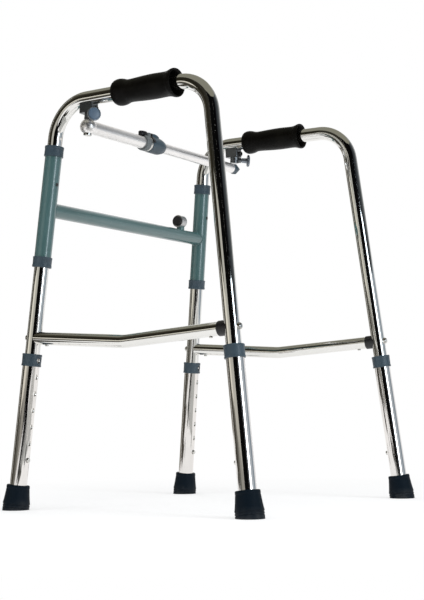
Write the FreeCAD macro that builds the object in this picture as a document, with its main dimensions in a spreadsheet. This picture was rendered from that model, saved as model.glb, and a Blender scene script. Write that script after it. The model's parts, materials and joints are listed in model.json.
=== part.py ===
"""A folding walking frame: two bent side frames that turn in the sleeves of an
H-shaped front frame, a telescoping brace under the handles and four legs that
lengthen in steps.  Millimetres; +Z up, +Y to the front, +X to the user's right.
The origin is on the floor, under the middle of the frame's box."""
import FreeCAD, Part
import Sketcher
import math
import os

Vector = FreeCAD.Vector
Placement = FreeCAD.Placement
Rotation = FreeCAD.Rotation

doc = FreeCAD.newDocument("walking_frame")

# ---------------------------------------------------------------- sizes
SIZES = [
    # the whole frame
    ("front_track", 520, "between the front leg axes on the floor"),
    ("depth", 467, "from front to rear leg axis on the floor, in a side frame"),
    ("toe_angle", 2.0, "each side frame opens this much towards the rear"),
    ("splay_angle", 2.4, "each side frame leans in this much from the vertical"),
    ("front_lean", 6.0, "front leg's lean back"),
    ("rear_lean", 7.0, "rear leg's lean forwards"),
    ("handle_height", 691, "handle tube axis above the floor, along the side frame"),
    ("front_bend", 67, "radius of the front bend, on the axis"),
    ("rear_bend", 62, "radius of the rear bend, on the axis"),
    ("base_offset", 232, "the leg line's distance ahead of the origin"),
    # tubes
    ("frame_tube", 25.4, "outer diameter of the bent side tube"),
    ("tube_wall", 1.5, "wall of every frame tube"),
    ("leg_tube", 29.0, "outer diameter of the sliding leg tube"),
    ("rail_tube", 22.2, "outer diameter of the lower side rail"),
    ("cross_tube_size", 25.4, "outer diameter of the front cross tube"),
    ("running_gap", 0.05, "radial clearance of a running fit"),
    ("seat_gap", 0.3, "gap between faces that move past each other"),
    # leg adjustment
    ("tube_end", 62, "lower end of the side tube, along the leg"),
    ("button_height", 85, "snap button above the floor, along the leg"),
    ("hole_pitch", 28, "distance between height holes"),
    ("hole_steps", 6, "number of height steps"),
    ("hole_size", 8.6, "diameter of a height hole"),
    ("button_size", 7.6, "diameter of a snap button"),
    ("button_reach", 17.6, "tip of the button from the leg axis"),
    ("button_gap", 0.08, "radial clearance of a button in its tube"),
    ("spring_reach", 8.2, "button end of the snap spring from the leg axis"),
    ("spring_far", 10.7, "far end of the snap spring from the leg axis"),
    ("button_flange", 10.0, "diameter of the button's inner flange"),
    ("spring_width", 6.0, "width of a snap spring's strip"),
    ("spring_sheet", 0.8, "thickness of a snap spring's strip"),
    ("spring_rise", 38, "height of the snap spring's bend over its button"),
    ("leg_foot_gap", 8, "rubber under the leg tube"),
    ("collar_size", 33.4, "outer diameter of the leg collar"),
    ("collar_length", 21, "length of the leg collar"),
    ("collar_lip", 3, "lip that closes the collar over the tube end"),
    ("collar_rise", 7.5, "tube end above the top hole"),
    # rubber feet
    ("foot_top", 39.4, "top diameter of a rubber foot"),
    ("foot_base", 45.0, "bottom diameter of a rubber foot"),
    ("foot_height", 42, "height of a rubber foot"),
    ("foot_band", 13, "height of the straight band at the bottom"),
    # front frame
    ("sleeve_bottom", 420, "centre of the lower bush, along the front leg"),
    ("sleeve_top", 611, "centre of the upper bush, along the front leg"),
    ("sleeve_gap", 0.4, "gap between side tube and sleeve"),
    ("bush_size", 33.0, "outer diameter of a sleeve bush"),
    ("bush_length", 18, "length of a sleeve bush"),
    ("bush_lip", 6, "lip of a bush past the sleeve's end"),
    ("cross_height", 511, "cross tube above the floor, along the front leg"),
    ("rivet_head", 6.4, "head diameter of a sleeve rivet"),
    ("rivet_shank", 4.0, "shank diameter of a sleeve rivet"),
    ("rivet_dome", 1.6, "head height of a sleeve rivet"),
    ("rear_rivet", 554, "height of the rear sleeve rivet along the leg"),
    ("front_rivet", 449, "height of the front sleeve rivet along the leg"),
    # fold lock on the cross tube
    ("lock_place", 172, "lock post from the middle of the cross tube"),
    ("right_fold", 37, "degrees that the slot in the right leg lets it fold"),
    ("bolt_size", 8.0, "diameter of the lock bolt"),
    ("bolt_entry", 2.8, "how far the bolt stands into the right leg"),
    ("bolt_collar", 13.0, "diameter of the spring collar on the bolt"),
    ("guide_place", 12, "bolt guide from the lock post"),
    ("collar_place", 33, "spring collar from the lock post"),
    ("guide_length", 8, "length of the bolt guide"),
    ("yoke_size", 9, "width and height of the bolt's yoke"),
    ("yoke_length", 16, "length of the bolt's yoke"),
    ("yoke_slot", 7.2, "length of the slot that takes the lever's ball"),
    ("coil_wire", 1.0, "wire of the lock spring"),
    ("coil_size", 11.0, "mean diameter of the lock spring"),
    ("coil_turns", 5, "turns of the lock spring"),
    ("lever_pivot", 14.2, "lever pivot above the cross tube's axis"),
    ("lever_top", 13.8, "from lever pivot to the push button's axis"),
    ("lever_sheet", 3.0, "thickness of the lever"),
    ("lever_width", 4.0, "width of the lever"),
    ("lever_ball", 6.0, "diameter of the lever's round lower end"),
    ("lever_pin", 2.5, "diameter of the lever pin"),
    ("post_size", 15, "diameter of the lock post"),
    ("post_top", 18, "top of the lock post above the cross tube's axis"),
    ("head_size", 24, "diameter of the silver lock head"),
    ("head_length", 21, "length of the silver lock head"),
    ("head_round", 6, "rounding of the lock head's closed end"),
    ("push_size", 19, "diameter of the black push button"),
    ("push_out", 4.6, "how far the push button stands out"),
    ("push_depth", 6, "depth of the push button's well"),
    # lower side rails
    ("rail_height", 289, "rail axis at both legs"),
    ("rail_drop", 13.5, "how much lower the rail is at its kink"),
    ("rail_kink", 192, "kink behind the front end"),
    ("rail_bend", 90, "radius of the kink"),
    ("saddle_size", 24.4, "diameter of the rear rail saddle"),
    ("saddle_length", 10, "length of the rear rail saddle"),
    ("plug_length", 22, "how far a plug stands into its tube"),
    ("bolt_shank", 6, "diameter of a rail bolt"),
    ("bolt_head", 11, "head diameter of a rail bolt"),
    ("bolt_head_height", 4.5, "head height of a rail bolt"),
    ("bolt_reach", 24, "rail bolt's reach past the leg axis"),
    ("screw_head", 6.5, "head diameter of a rail screw"),
    ("screw_dome", 2.2, "head height of a rail screw"),
    ("screw_shank", 3, "shank diameter of a rail screw"),
    ("screw_from_end", 17, "rail screw from the rail's end"),
    # hand grips
    ("left_grip_start", 190, "front end of the left grip behind the leg line"),
    ("right_grip_start", 158, "front end of the right grip behind the leg line"),
    ("grip_length", 138, "length of a hand grip"),
    ("grip_flange", 43.5, "diameter of the front flange"),
    ("grip_flange_length", 24, "length of the front flange"),
    ("grip_waist", 38.6, "diameter behind the front flange"),
    ("grip_belly", 43.5, "diameter of the swollen middle"),
    ("grip_neck", 40.5, "diameter ahead of the rear flare"),
    ("grip_flare", 46, "diameter of the rear flare"),
    ("grip_flare_length", 16, "length of the rear flare"),
    ("grip_scoop", 12, "depth of the scooped rear end"),
    # brace brackets
    ("bracket_place", 138, "brace pivot behind the leg line"),
    ("brace_height", 642, "brace axis above the floor, along the side frame"),
    ("barrel_size", 17, "diameter of the bracket's barrel"),
    ("barrel_foot", 12, "bottom of the barrel above the brace axis"),
    ("pin_size", 8, "diameter of a brace pivot pin"),
    ("pin_top", 29, "top of a pivot pin above the brace axis"),
    ("pin_head", 14, "head diameter of a pivot pin"),
    ("saddle_long", 27, "length of the bracket's saddle"),
    ("saddle_wide", 20, "width of the bracket's saddle"),
    ("saddle_foot", 23, "bottom of the saddle above the brace axis"),
    ("saddle_round", 3, "rounding of the saddle's edges"),
    ("screw_height", 18, "thumb screw above the brace axis"),
    ("screw_turn", 34, "thumb screw's angle out from straight back"),
    ("screw_stem", 6, "diameter of the thumb screw's stem"),
    ("screw_boss", 10.4, "diameter of the boss that takes the stem"),
    ("screw_boss_end", 13, "end of that boss from the pin's axis"),
    ("wheel_size", 21, "diameter of the thumb wheel"),
    ("wheel_thickness", 4.5, "thickness of the thumb wheel"),
    ("wheel_place", 27, "middle of the thumb wheel from the pin's axis"),
    ("wheel_hub", 9, "diameter of the thumb wheel's hub"),
    ("cap_size", 9, "diameter of the black bracket screw"),
    ("cap_length", 5, "length of the black bracket screw's head"),
    # telescoping brace
    ("outer_tube", 22.2, "outer diameter of the brace's outer tube"),
    ("inner_tube", 19.0, "outer diameter of the brace's inner tube"),
    ("brace_wall", 1.2, "wall of both brace tubes"),
    ("eye_size", 28, "diameter of the round left eye"),
    ("eye_flat", 11.4, "half height of the left eye"),
    ("eye_plug", 12, "how far an eye's plug stands into its tube"),
    ("sock_size", 19.0, "diameter of the right eye's neck"),
    ("pad_travel", 1.8, "travel of the brace button"),
    ("outer_end", 206, "end of the outer tube from the left pivot"),
    ("inner_start", 170, "hidden end of the inner tube from the left pivot"),
    ("diamond_size", 23, "width of the diamond-shaped right eye"),
    ("diamond_height", 19, "height of the diamond-shaped right eye"),
    ("diamond_rim", 9, "width of the right eye's flat ends"),
    ("housing_start", 144, "start of the lock housing"),
    ("housing_end", 198, "end of the lock housing"),
    ("housing_size", 27.4, "diameter of the lock housing"),
    ("pad_place", 160, "middle of the brace button"),
    ("pad_length", 25, "length of the brace button"),
    ("pad_width", 11, "width of the brace button"),
    ("pad_foot", 13.8, "underside of the brace button above the axis"),
    ("pad_top", 19.2, "top of the brace button above the axis"),
    ("boss_top", 16.4, "top of the boss round the button above the axis"),
    ("boss_wall", 2.6, "wall of the boss round the button"),
    ("leaf_sheet", 0.5, "thickness of the leaf under the button"),
    ("leaf_width", 6, "width of the leaf under the button"),
    ("leaf_length", 18, "length of the leaf under the button"),
    ("window_place", 190, "middle of the dark window in the housing"),
    ("window_length", 11, "length of that window"),
    ("window_width", 7, "width of that window"),
    ("ferrule_length", 35, "length of the tapered ferrule"),
    ("ferrule_large", 26.4, "large diameter of the ferrule"),
    ("ferrule_small", 21.6, "small diameter of the ferrule"),
    ("guide_head_start", 96, "start of the guide rod's head"),
    ("guide_head_length", 12, "length of the guide rod's head"),
    ("guide_rod_length", 92, "length of the guide rod behind its head"),
    ("guide_slack", 0.25, "radial gap between guide rod and tubes"),
]

sheet = doc.addObject("Spreadsheet::Sheet", "Sizes")
for row, (alias, number, note) in enumerate(SIZES, start=1):
    sheet.set(f"A{row}", note)
    sheet.set(f"B{row}", str(number))
    sheet.setAlias(f"B{row}", alias)
doc.recompute()


class Size:
    """A dimension that carries its number and the sheet expression behind it."""

    def __init__(self, value, text):
        self.value = float(value)
        self.text = text

    def __add__(self, other):
        other = as_size(other)
        return Size(self.value + other.value, f"({self.text} + {other.text})")

    def __sub__(self, other):
        other = as_size(other)
        return Size(self.value - other.value, f"({self.text} - {other.text})")

    def __mul__(self, other):
        other = as_size(other)
        return Size(self.value * other.value, f"({self.text} * {other.text})")

    def __truediv__(self, other):
        other = as_size(other)
        return Size(self.value / other.value, f"({self.text} / {other.text})")

    def __neg__(self):
        return Size(-self.value, f"(0 - {self.text})")

    __radd__ = __add__
    __rmul__ = __mul__

    def __rsub__(self, other):
        return as_size(other) - self


def as_size(number):
    return number if isinstance(number, Size) else Size(number, repr(float(number)))


def cell(alias):
    return Size(sheet.get(alias), "Sizes." + alias)


def sine(angle):
    return Size(math.sin(math.radians(angle.value)), f"sin({angle.text} * 1 deg)")


def cosine(angle):
    return Size(math.cos(math.radians(angle.value)), f"cos({angle.text} * 1 deg)")


def tangent(angle):
    return Size(math.tan(math.radians(angle.value)), f"tan({angle.text} * 1 deg)")


def root(size):
    return Size(math.sqrt(size.value), f"sqrt({size.text})")


ZERO = as_size(0)
SLIP = cell("running_gap")
GAP = cell("seat_gap")
TUBE = cell("frame_tube") / 2
TUBE_BORE = TUBE - cell("tube_wall")
LEG = cell("leg_tube") / 2
LEG_BORE = LEG - cell("tube_wall")
RAIL = cell("rail_tube") / 2
RAIL_BORE = RAIL - cell("tube_wall")
CROSS = cell("cross_tube_size") / 2
CROSS_BORE = CROSS - cell("tube_wall")


# ---------------------------------------------------------------- builders
def bind(thing, prop, size):
    """Set a property now and keep it tied to the sheet."""
    size = as_size(size)
    setattr(thing, prop, size.value)
    thing.setExpression(prop, size.text)


def cylinder(name, radius, height, place=None, angle=None):
    solid = doc.addObject("Part::Cylinder", name)
    bind(solid, "Radius", radius)
    bind(solid, "Height", height)
    if angle is not None:
        bind(solid, "Angle", angle)
    solid.Placement = place or Placement()
    return solid


def box(name, length, width, height, place=None):
    """A box centred on its place in X and Y, standing on it in Z."""
    solid = doc.addObject("Part::Box", name)
    bind(solid, "Length", length)
    bind(solid, "Width", width)
    bind(solid, "Height", height)
    corner = Vector(-as_size(length).value / 2, -as_size(width).value / 2, 0)
    solid.Placement = (place or Placement()) * Placement(corner, Rotation())
    return solid


def ball(name, radius, place=None):
    solid = doc.addObject("Part::Sphere", name)
    bind(solid, "Radius", radius)
    solid.Placement = place or Placement()
    return solid


def fuse(name, *solids):
    joined = doc.addObject("Part::MultiFuse", name)
    joined.Shapes = list(solids)
    joined.Refine = True
    return joined


def cut(name, base, *tools):
    """Take one or more tools away from a base."""
    tool = tools[0]
    if len(tools) > 1:
        tool = fuse(name + "_tools", *tools)
    rest = doc.addObject("Part::Cut", name)
    rest.Base = base
    rest.Tool = tool
    rest.Refine = True
    return rest


def together(name, *solids):
    """Separate solids of one kind in one node."""
    group = doc.addObject("Part::Compound", name)
    group.Links = list(solids)
    return group


def rounded(name, base, radius, wanted):
    """Round the edges of a solid whose ends pass the wanted test."""
    doc.recompute()
    solid = doc.addObject("Part::Fillet", name)
    solid.Base = base
    picked = []
    for number, edge in enumerate(base.Shape.Edges, start=1):
        if wanted(edge):
            picked.append((number, radius.value, radius.value))
    solid.Edges = picked
    return solid


def plane(body, role):
    for item in body.Origin.OriginFeatures:
        if item.Role == role:
            return item
    raise ValueError(role)



def pinned(sketch, kind, edge, end, size):
    """Tie one coordinate of an edge's end to the sketch origin."""
    if abs(size.value) < 1e-9:
        axis = -2 if kind == "DistanceX" else -1
        sketch.addConstraint(Sketcher.Constraint("PointOnObject", edge, end, axis))
        return
    number = sketch.addConstraint(
        Sketcher.Constraint(kind, -1, 1, edge, end, size.value))
    sketch.setExpression(f"Constraints[{number}]", size.text)


def draw(sketch, steps):
    """A closed outline through (x, y) points, each tied to the sheet.

    A third number in a step makes the edge that ends there an arc, which
    bulges that much to the left of the way (to the right if below zero)."""
    points = [(as_size(step[0]), as_size(step[1])) for step in steps]
    spots = [Vector(x.value, y.value, 0) for x, y in points]
    ends = []
    for index, step in enumerate(steps):
        start, end = spots[index - 1], spots[index]
        if len(step) == 3:
            bulge = as_size(step[2])
            along = end - start
            left = Vector(-along.y, along.x, 0)
            left.normalize()
            middle = (start + end) * 0.5 + left * bulge.value
            if bulge.value < 0:
                edge = sketch.addGeometry(Part.Arc(start, middle, end))
                ends.append((edge, 1, 2))
            else:
                edge = sketch.addGeometry(Part.Arc(end, middle, start))
                ends.append((edge, 2, 1))
        else:
            edge = sketch.addGeometry(Part.LineSegment(start, end))
            ends.append((edge, 1, 2))
    for index, (edge, first, last) in enumerate(ends):
        before = ends[index - 1]
        sketch.addConstraint(
            Sketcher.Constraint("Coincident", before[0], before[2], edge, first))
    for index, (edge, first, last) in enumerate(ends):
        pinned(sketch, "DistanceX", edge, last, points[index][0])
        pinned(sketch, "DistanceY", edge, last, points[index][1])
    for index, (edge, first, last) in enumerate(ends):
        if len(steps[index]) == 3:
            bulge = as_size(steps[index][2])
            if bulge.value < 0:
                bulge = -bulge
            across = points[index][0] - points[index - 1][0]
            up = points[index][1] - points[index - 1][1]
            radius = ((across * across + up * up) / 4 + bulge * bulge) / (2 * bulge)
            number = sketch.addConstraint(
                Sketcher.Constraint("Radius", edge, radius.value))
            sketch.setExpression(f"Constraints[{number}]", radius.text)


def plane_sketch(body, role, name):
    sketch = body.newObject("Sketcher::SketchObject", name)
    sketch.AttachmentSupport = [(plane(body, role), "")]
    sketch.MapMode = "FlatFace"
    return sketch


def revolved(name, steps):
    """A body turned about Z from an outline of (radius, height) points."""
    body = doc.addObject("PartDesign::Body", name)
    sketch = plane_sketch(body, "XZ_Plane", name + "_outline")
    draw(sketch, steps)
    doc.recompute()
    turn = body.newObject("PartDesign::Revolution", name + "_turn")
    turn.Profile = sketch
    turn.ReferenceAxis = (sketch, ["V_Axis"])
    turn.Angle = 360
    sketch.Visibility = False
    return body


def padded(name, role, steps, thickness):
    """A body of even thickness, drawn on an origin plane and padded both ways."""
    body = doc.addObject("PartDesign::Body", name)
    sketch = plane_sketch(body, role, name + "_outline")
    draw(sketch, steps)
    doc.recompute()
    pad = body.newObject("PartDesign::Pad", name + "_pad")
    pad.Profile = sketch
    pad.SideType = "Symmetric"
    bind(pad, "Length", thickness)
    sketch.Visibility = False
    return body


def ring(name, outer, inner, length, place=None):
    """A plain tube along Z."""
    pipe = cut(name, cylinder(name + "_outside", outer, length),
               cylinder(name + "_bore", inner, as_size(length) + 2,
                        Placement(Vector(0, 0, -1), Rotation())))
    pipe.Placement = place or Placement()
    return pipe


SIDE_PLANE = Placement(Vector(), Rotation(Vector(1, 1, 1), 120))


def path(name, start, start_angle, end, end_angle, middle, radii):
    """A line of straight runs joined by tangent bends in the side plane.

    Start and end are (along, height) points; with a middle height there is a
    level run and two bends, and without one there is a single bend."""
    sketch = doc.addObject("Sketcher::SketchObject", name)
    sketch.Placement = SIDE_PLANE
    begin = Vector(start[0].value, start[1].value, 0)
    finish = Vector(end[0].value, end[1].value, 0)
    a1 = math.radians(start_angle.value)
    a2 = math.radians(end_angle.value)
    go = Vector(math.cos(a1), math.sin(a1), 0)
    come = Vector(math.cos(a2), math.sin(a2), 0)

    def meet(p, d, q, e):
        across = d.x * e.y - d.y * e.x
        along = ((q.x - p.x) * e.y - (q.y - p.y) * e.x) / across
        return p + d * along

    if middle is None:
        corners = [meet(begin, go, finish, come)]
    else:
        level = Vector(-1, 0, 0)
        flat = Vector(0, middle.value, 0)
        corners = [meet(begin, go, flat, level), meet(finish, come, flat, level)]
    spots = [begin] + corners + [finish]
    runs, bends = [], []
    last = begin
    for index, corner in enumerate(corners, start=1):
        back = (spots[index - 1] - corner)
        back.normalize()
        on = (spots[index + 1] - corner)
        on.normalize()
        half = back.getAngle(on) / 2
        reach = radii[index - 1].value / math.tan(half)
        inward = back + on
        inward.normalize()
        centre = corner + inward * (radii[index - 1].value / math.sin(half))
        enter, leave = corner + back * reach, corner + on * reach
        through = centre - inward * radii[index - 1].value
        runs.append(sketch.addGeometry(Part.LineSegment(last, enter)))
        turn = (enter - centre).cross(leave - centre).z
        if turn > 0:
            bends.append((sketch.addGeometry(Part.Arc(enter, through, leave)), 1, 2))
        else:
            bends.append((sketch.addGeometry(Part.Arc(leave, through, enter)), 2, 1))
        last = leave
    runs.append(sketch.addGeometry(Part.LineSegment(last, finish)))
    for index, (arc, first, second) in enumerate(bends):
        sketch.addConstraint(Sketcher.Constraint("Tangent", runs[index], 2, arc, first))
        sketch.addConstraint(
            Sketcher.Constraint("Tangent", arc, second, runs[index + 1], 1))
        number = sketch.addConstraint(
            Sketcher.Constraint("Radius", arc, radii[index].value))
        sketch.setExpression(f"Constraints[{number}]", radii[index].text)
    pinned(sketch, "DistanceX", runs[0], 1, start[0])
    pinned(sketch, "DistanceY", runs[0], 1, start[1])
    pinned(sketch, "DistanceX", runs[-1], 2, end[0])
    pinned(sketch, "DistanceY", runs[-1], 2, end[1])
    for run, angle in ((runs[0], start_angle), (runs[-1], end_angle)):
        number = sketch.addConstraint(
            Sketcher.Constraint("Angle", run, math.radians(angle.value)))
        sketch.setExpression(f"Constraints[{number}]", f"{angle.text} * 1 deg")
    if middle is not None:
        sketch.addConstraint(Sketcher.Constraint("Horizontal", runs[1]))
        pinned(sketch, "DistanceY", runs[1], 1, middle)
    return sketch


def swept(name, spine, radius, start, angle):
    """A round bar along a path in the side plane."""
    circle = doc.addObject("Part::Circle", name + "_circle")
    bind(circle, "Radius", radius)
    a = math.radians(angle.value)
    way = Vector(0, math.cos(a), math.sin(a))
    circle.Placement = Placement(
        Vector(0, start[0].value, start[1].value), Rotation(Vector(0, 0, 1), way))
    doc.recompute()
    bar = doc.addObject("Part::Sweep", name)
    bar.Sections = [circle]
    bar.Spine = (spine, [f"Edge{n}" for n in range(1, len(spine.Shape.Edges) + 1)])
    bar.Solid = True
    bar.Frenet = False
    bar.Transition = "Transformed"
    return bar


NODES = {}


def node(label, feature, frame=None):
    """Name a finished piece and set it in its place."""
    feature.Label = label
    feature.Placement = frame or Placement()
    NODES[label] = feature
    return feature


# ---------------------------------------------------------------- frames
ALONG_X = Rotation(Vector(0, 1, 0), 90)
ALONG_Y = Rotation(Vector(1, 0, 0), -90)
LEAN = cell("front_lean")
REAR_LEAN = cell("rear_lean")
DEPTH = cell("depth")
BASE = cell("base_offset").value
TOE = cell("toe_angle").value
SPLAY = cell("splay_angle").value
HALF = cell("front_track").value / 2
SIDES = {
    "left": Placement(Vector(-HALF, BASE, 0), Rotation(-TOE, SPLAY, 0)),
    "right": Placement(Vector(HALF, BASE, 0), Rotation(TOE, -SPLAY, 0)),
}
INWARD = {"left": 1, "right": -1}
FRONT_LEG = Placement(Vector(), Rotation(0, 0, LEAN.value))
REAR_LEG = Placement(Vector(0, -DEPTH.value, 0), Rotation(0, 0, -REAR_LEAN.value)) \
    * Placement(Vector(), Rotation(180, 0, 0))


def at(x=0, y=0, z=0, turn=None):
    """A place from numbers or sizes."""
    spot = [number.value if isinstance(number, Size) else number for number in (x, y, z)]
    return Placement(Vector(*spot), turn or Rotation())


# ---------------------------------------------------------------- one leg
BUTTON = cell("button_height")
PITCH = cell("hole_pitch")
STEPS = int(round(cell("hole_steps").value))
COLLAR_TOP = BUTTON + PITCH * cell("hole_steps") + cell("collar_rise")
HOLE = cell("hole_size") / 2
FOOT_GAP = cell("leg_foot_gap")


def leg(name, frame):
    """The telescoping lower leg with its collar, foot, snap button and spring."""
    length = COLLAR_TOP - FOOT_GAP
    tube = ring(name + "_tube", LEG, LEG_BORE, length, at(z=FOOT_GAP))
    drills = []
    for step in range(STEPS + 1):
        drills.append(cylinder(
            f"{name}_hole_{step + 1}", HOLE, LEG * 2,
            at(y=-LEG * 2, z=BUTTON + PITCH * step, turn=ALONG_Y)))
    node(name + "_extension", cut(name + "_extension", tube, *drills), frame)

    size = cell("collar_size") / 2
    lip = cell("collar_lip")
    low = COLLAR_TOP + lip - cell("collar_length")
    edge = as_size(0.8)
    collar = revolved(name + "_collar_ring", [
        (LEG, low), (size - edge, low), (size, low + edge),
        (size, COLLAR_TOP + lip - edge), (size - edge, COLLAR_TOP + lip),
        (TUBE + SLIP, COLLAR_TOP + lip), (TUBE + SLIP, COLLAR_TOP), (LEG, COLLAR_TOP)])
    window = cylinder(name + "_collar_window", HOLE, size * 2,
                      at(y=-size * 2, z=BUTTON + PITCH * cell("hole_steps"),
                         turn=ALONG_Y))
    node(name + "_collar", cut(name + "_collar", collar, window), frame)

    top = cell("foot_height")
    wide = cell("foot_base") / 2
    narrow = cell("foot_top") / 2
    band = cell("foot_band")
    soft = as_size(1.2)
    rubber = revolved(name + "_foot_rubber", [
        (ZERO, -as_size(8)), (wide, -as_size(8)), (wide, band),
        (narrow + soft / 2, top - soft, (wide - narrow) * 0.06),
        (narrow - soft, top), (LEG, top), (LEG, FOOT_GAP), (ZERO, FOOT_GAP)])
    ground = box(name + "_ground", 120, 120, 60)
    ground.Placement = frame.inverse() * at(
        frame.Base.x - 60, frame.Base.y - 60, -60)
    node(name + "_foot", cut(name + "_foot", rubber, ground), frame)

    inner = cell("button_reach") - cell("spring_reach")
    flange = cell("button_flange") / 2
    shaft = cell("button_size") / 2
    tip = cell("button_reach")
    back = cell("spring_reach")
    thick = as_size(1.4)
    dome = as_size(0.9)
    button = revolved(name + "_button", [
        (ZERO, back), (flange, back), (flange, back + thick), (shaft, back + thick),
        (shaft, tip - dome), (shaft - dome, tip, -dome * 0.29), (ZERO, tip)])
    node(name + "_button", button,
         frame * at(z=BUTTON, turn=Rotation(Vector(1, 0, 0), 90)))

    s = cell("spring_sheet")
    rise = cell("spring_rise")
    far = cell("spring_far")
    half = as_size(1.6)
    foot = BUTTON - flange
    spring = padded(name + "_spring", "YZ_Plane", [
        (-back, foot), (-back + s, foot), (-back + s, BUTTON + flange),
        (-half + s, BUTTON + rise - s), (half - s, BUTTON + rise - s),
        (far - s, foot), (far, foot), (half, BUTTON + rise),
        (-half, BUTTON + rise), (-back, BUTTON + flange)],
        cell("spring_width"))
    node(name + "_spring", spring, frame)


# ---------------------------------------------------------------- side frames
HANDLE = cell("handle_height")
TUBE_END = cell("tube_end")
RAIL_HEIGHT = cell("rail_height")
PLACE = cell("bracket_place")
BRACE_HEIGHT = cell("brace_height")
CROSS_AT = cell("cross_height")


def leg_point(lean, along, rear):
    """A point along a leg's axis, as (forward, height) in the side plane."""
    forward = along * sine(lean)
    if rear:
        return forward - DEPTH, along * cosine(lean)
    return -forward, along * cosine(lean)


def side(name):
    frame = SIDES[name]
    inward = INWARD[name]
    # the bent tube
    start = leg_point(LEAN, TUBE_END, False)
    end = leg_point(REAR_LEAN, TUBE_END, True)
    spine = path(name + "_tube_path", start, 90 + LEAN, end, as_size(-90) - REAR_LEAN,
                 HANDLE, [cell("front_bend"), cell("rear_bend")])
    outside = swept(name + "_tube_outside", spine, TUBE, start, 90 + LEAN)
    bore = swept(name + "_tube_bore", spine, TUBE_BORE, start, 90 + LEAN)
    holes = []
    drill = cell("button_size") / 2 + cell("button_gap")
    for end_name, leg_frame in (("front", FRONT_LEG), ("rear", REAR_LEG)):
        holes.append(cylinder(
            f"{name}_{end_name}_button_hole", drill, TUBE * 2,
            leg_frame * at(y=-TUBE * 2, z=BUTTON, turn=ALONG_Y)))

    # the lower rail, its plugs, saddle, bolts and screws
    front_end = (-RAIL_HEIGHT * tangent(LEAN), RAIL_HEIGHT)
    rear_end = (RAIL_HEIGHT * tangent(REAR_LEAN) - DEPTH, RAIL_HEIGHT)
    drop = cell("rail_drop")
    kink = cell("rail_kink")
    rest = front_end[0] - rear_end[0] - kink
    down = math.degrees(math.atan2(drop.value, kink.value))
    up = math.degrees(math.atan2(drop.value, rest.value))
    angle_1 = Size(-180 + down, f"(atan({drop.text} / {kink.text}) / 1 deg - 180)")
    angle_2 = Size(180 - up, f"(180 - atan({drop.text} / {rest.text}) / 1 deg)")
    rail_path = path(name + "_rail_path", front_end, angle_1, rear_end, angle_2,
                     None, [cell("rail_bend")])
    front_way = at(y=front_end[0], z=front_end[1],
                   turn=Rotation(0, 0, 90 + down))
    rear_way = at(y=rear_end[0], z=rear_end[1], turn=Rotation(0, 0, -90 - up))
    rail_out = swept(name + "_rail_outside", rail_path, RAIL, front_end, angle_1)
    rail_in = swept(name + "_rail_bore", rail_path, RAIL_BORE, front_end, angle_1)
    saddle = cell("saddle_size") / 2
    stub = TUBE + cell("saddle_length")
    plug = cell("plug_length")
    front_post = cylinder(name + "_rail_cope", TUBE, 120,
                          FRONT_LEG * at(z=RAIL_HEIGHT.value - 60))
    rear_stop = cylinder(name + "_rail_stop", 30, stub + 30, rear_way * at(z=-30))
    screw = cell("screw_shank") / 2
    screw_at = {"front": TUBE + cell("screw_from_end"),
                "rear": stub + cell("screw_from_end")}
    taps = []
    for end_name, way in (("front", front_way), ("rear", rear_way)):
        under = 1 if end_name == "front" else -1
        spot = way * at(z=screw_at[end_name], turn=Rotation(Vector(1, 0, 0), 90 * under))
        taps.append((end_name, way, spot))
    tap_holes = [cylinder(f"{name}_{end_name}_tap", screw, RAIL * 1.4, spot)
                 for end_name, way, spot in taps]
    rail = cut(name + "_rail", rail_out, rail_in, front_post, rear_stop, *tap_holes)
    node(name + "_rail", rail, frame)

    shank = cell("bolt_shank") / 2
    reach = cell("bolt_reach")
    plugs = []
    for end_name, way, spot in taps:
        if end_name == "front":
            body = cylinder(f"{name}_front_plug", RAIL_BORE, TUBE + plug, way)
            lean_post = FRONT_LEG
        else:
            body = fuse(f"{name}_rear_saddle",
                        cylinder(f"{name}_saddle_ring", saddle, stub, way),
                        cylinder(f"{name}_rear_plug", RAIL_BORE, stub + plug, way))
            lean_post = REAR_LEG
        post = cylinder(f"{name}_{end_name}_plug_cope", TUBE, 120,
                        lean_post * at(z=RAIL_HEIGHT.value - 60))
        bolt_hole = cylinder(f"{name}_{end_name}_plug_hole", shank, reach, way)
        tap = cylinder(f"{name}_{end_name}_plug_tap", screw, RAIL * 1.4, spot)
        plugs.append(cut(f"{name}_{end_name}_plug_part", body, post, bolt_hole, tap))
    node(name + "_rail_saddles", together(name + "_rail_saddles", *plugs), frame)

    head = cell("bolt_head") / 2
    head_height = cell("bolt_head_height")
    bolts = []
    for end_name, way, spot in taps:
        bolt = revolved(f"{name}_{end_name}_rail_bolt", [
            (ZERO, 1.6 - TUBE), (head, 1.6 - TUBE), (head, -TUBE - head_height * 0.45),
            (head * 0.4, -TUBE - head_height, head_height * 0.16),
            (ZERO, -TUBE - head_height)])
        bolt.Placement = way
        cope = cylinder(f"{name}_{end_name}_bolt_cope", TUBE, 120,
                        (FRONT_LEG if end_name == "front" else REAR_LEG)
                        * at(z=RAIL_HEIGHT.value - 60))
        keep = cylinder(f"{name}_{end_name}_bolt_core", shank, reach + TUBE + 1,
                        way * at(z=-TUBE - 1))
        bolts.append(fuse(f"{name}_{end_name}_bolt_part",
                          cut(f"{name}_{end_name}_bolt_seat", bolt, cope), keep))
        holes.append(cylinder(f"{name}_{end_name}_bolt_hole", shank + 0.2,
                              TUBE * 4, way * at(z=-TUBE * 2)))
    node(name + "_rail_bolts", together(name + "_rail_bolts", *bolts), frame)

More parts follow.
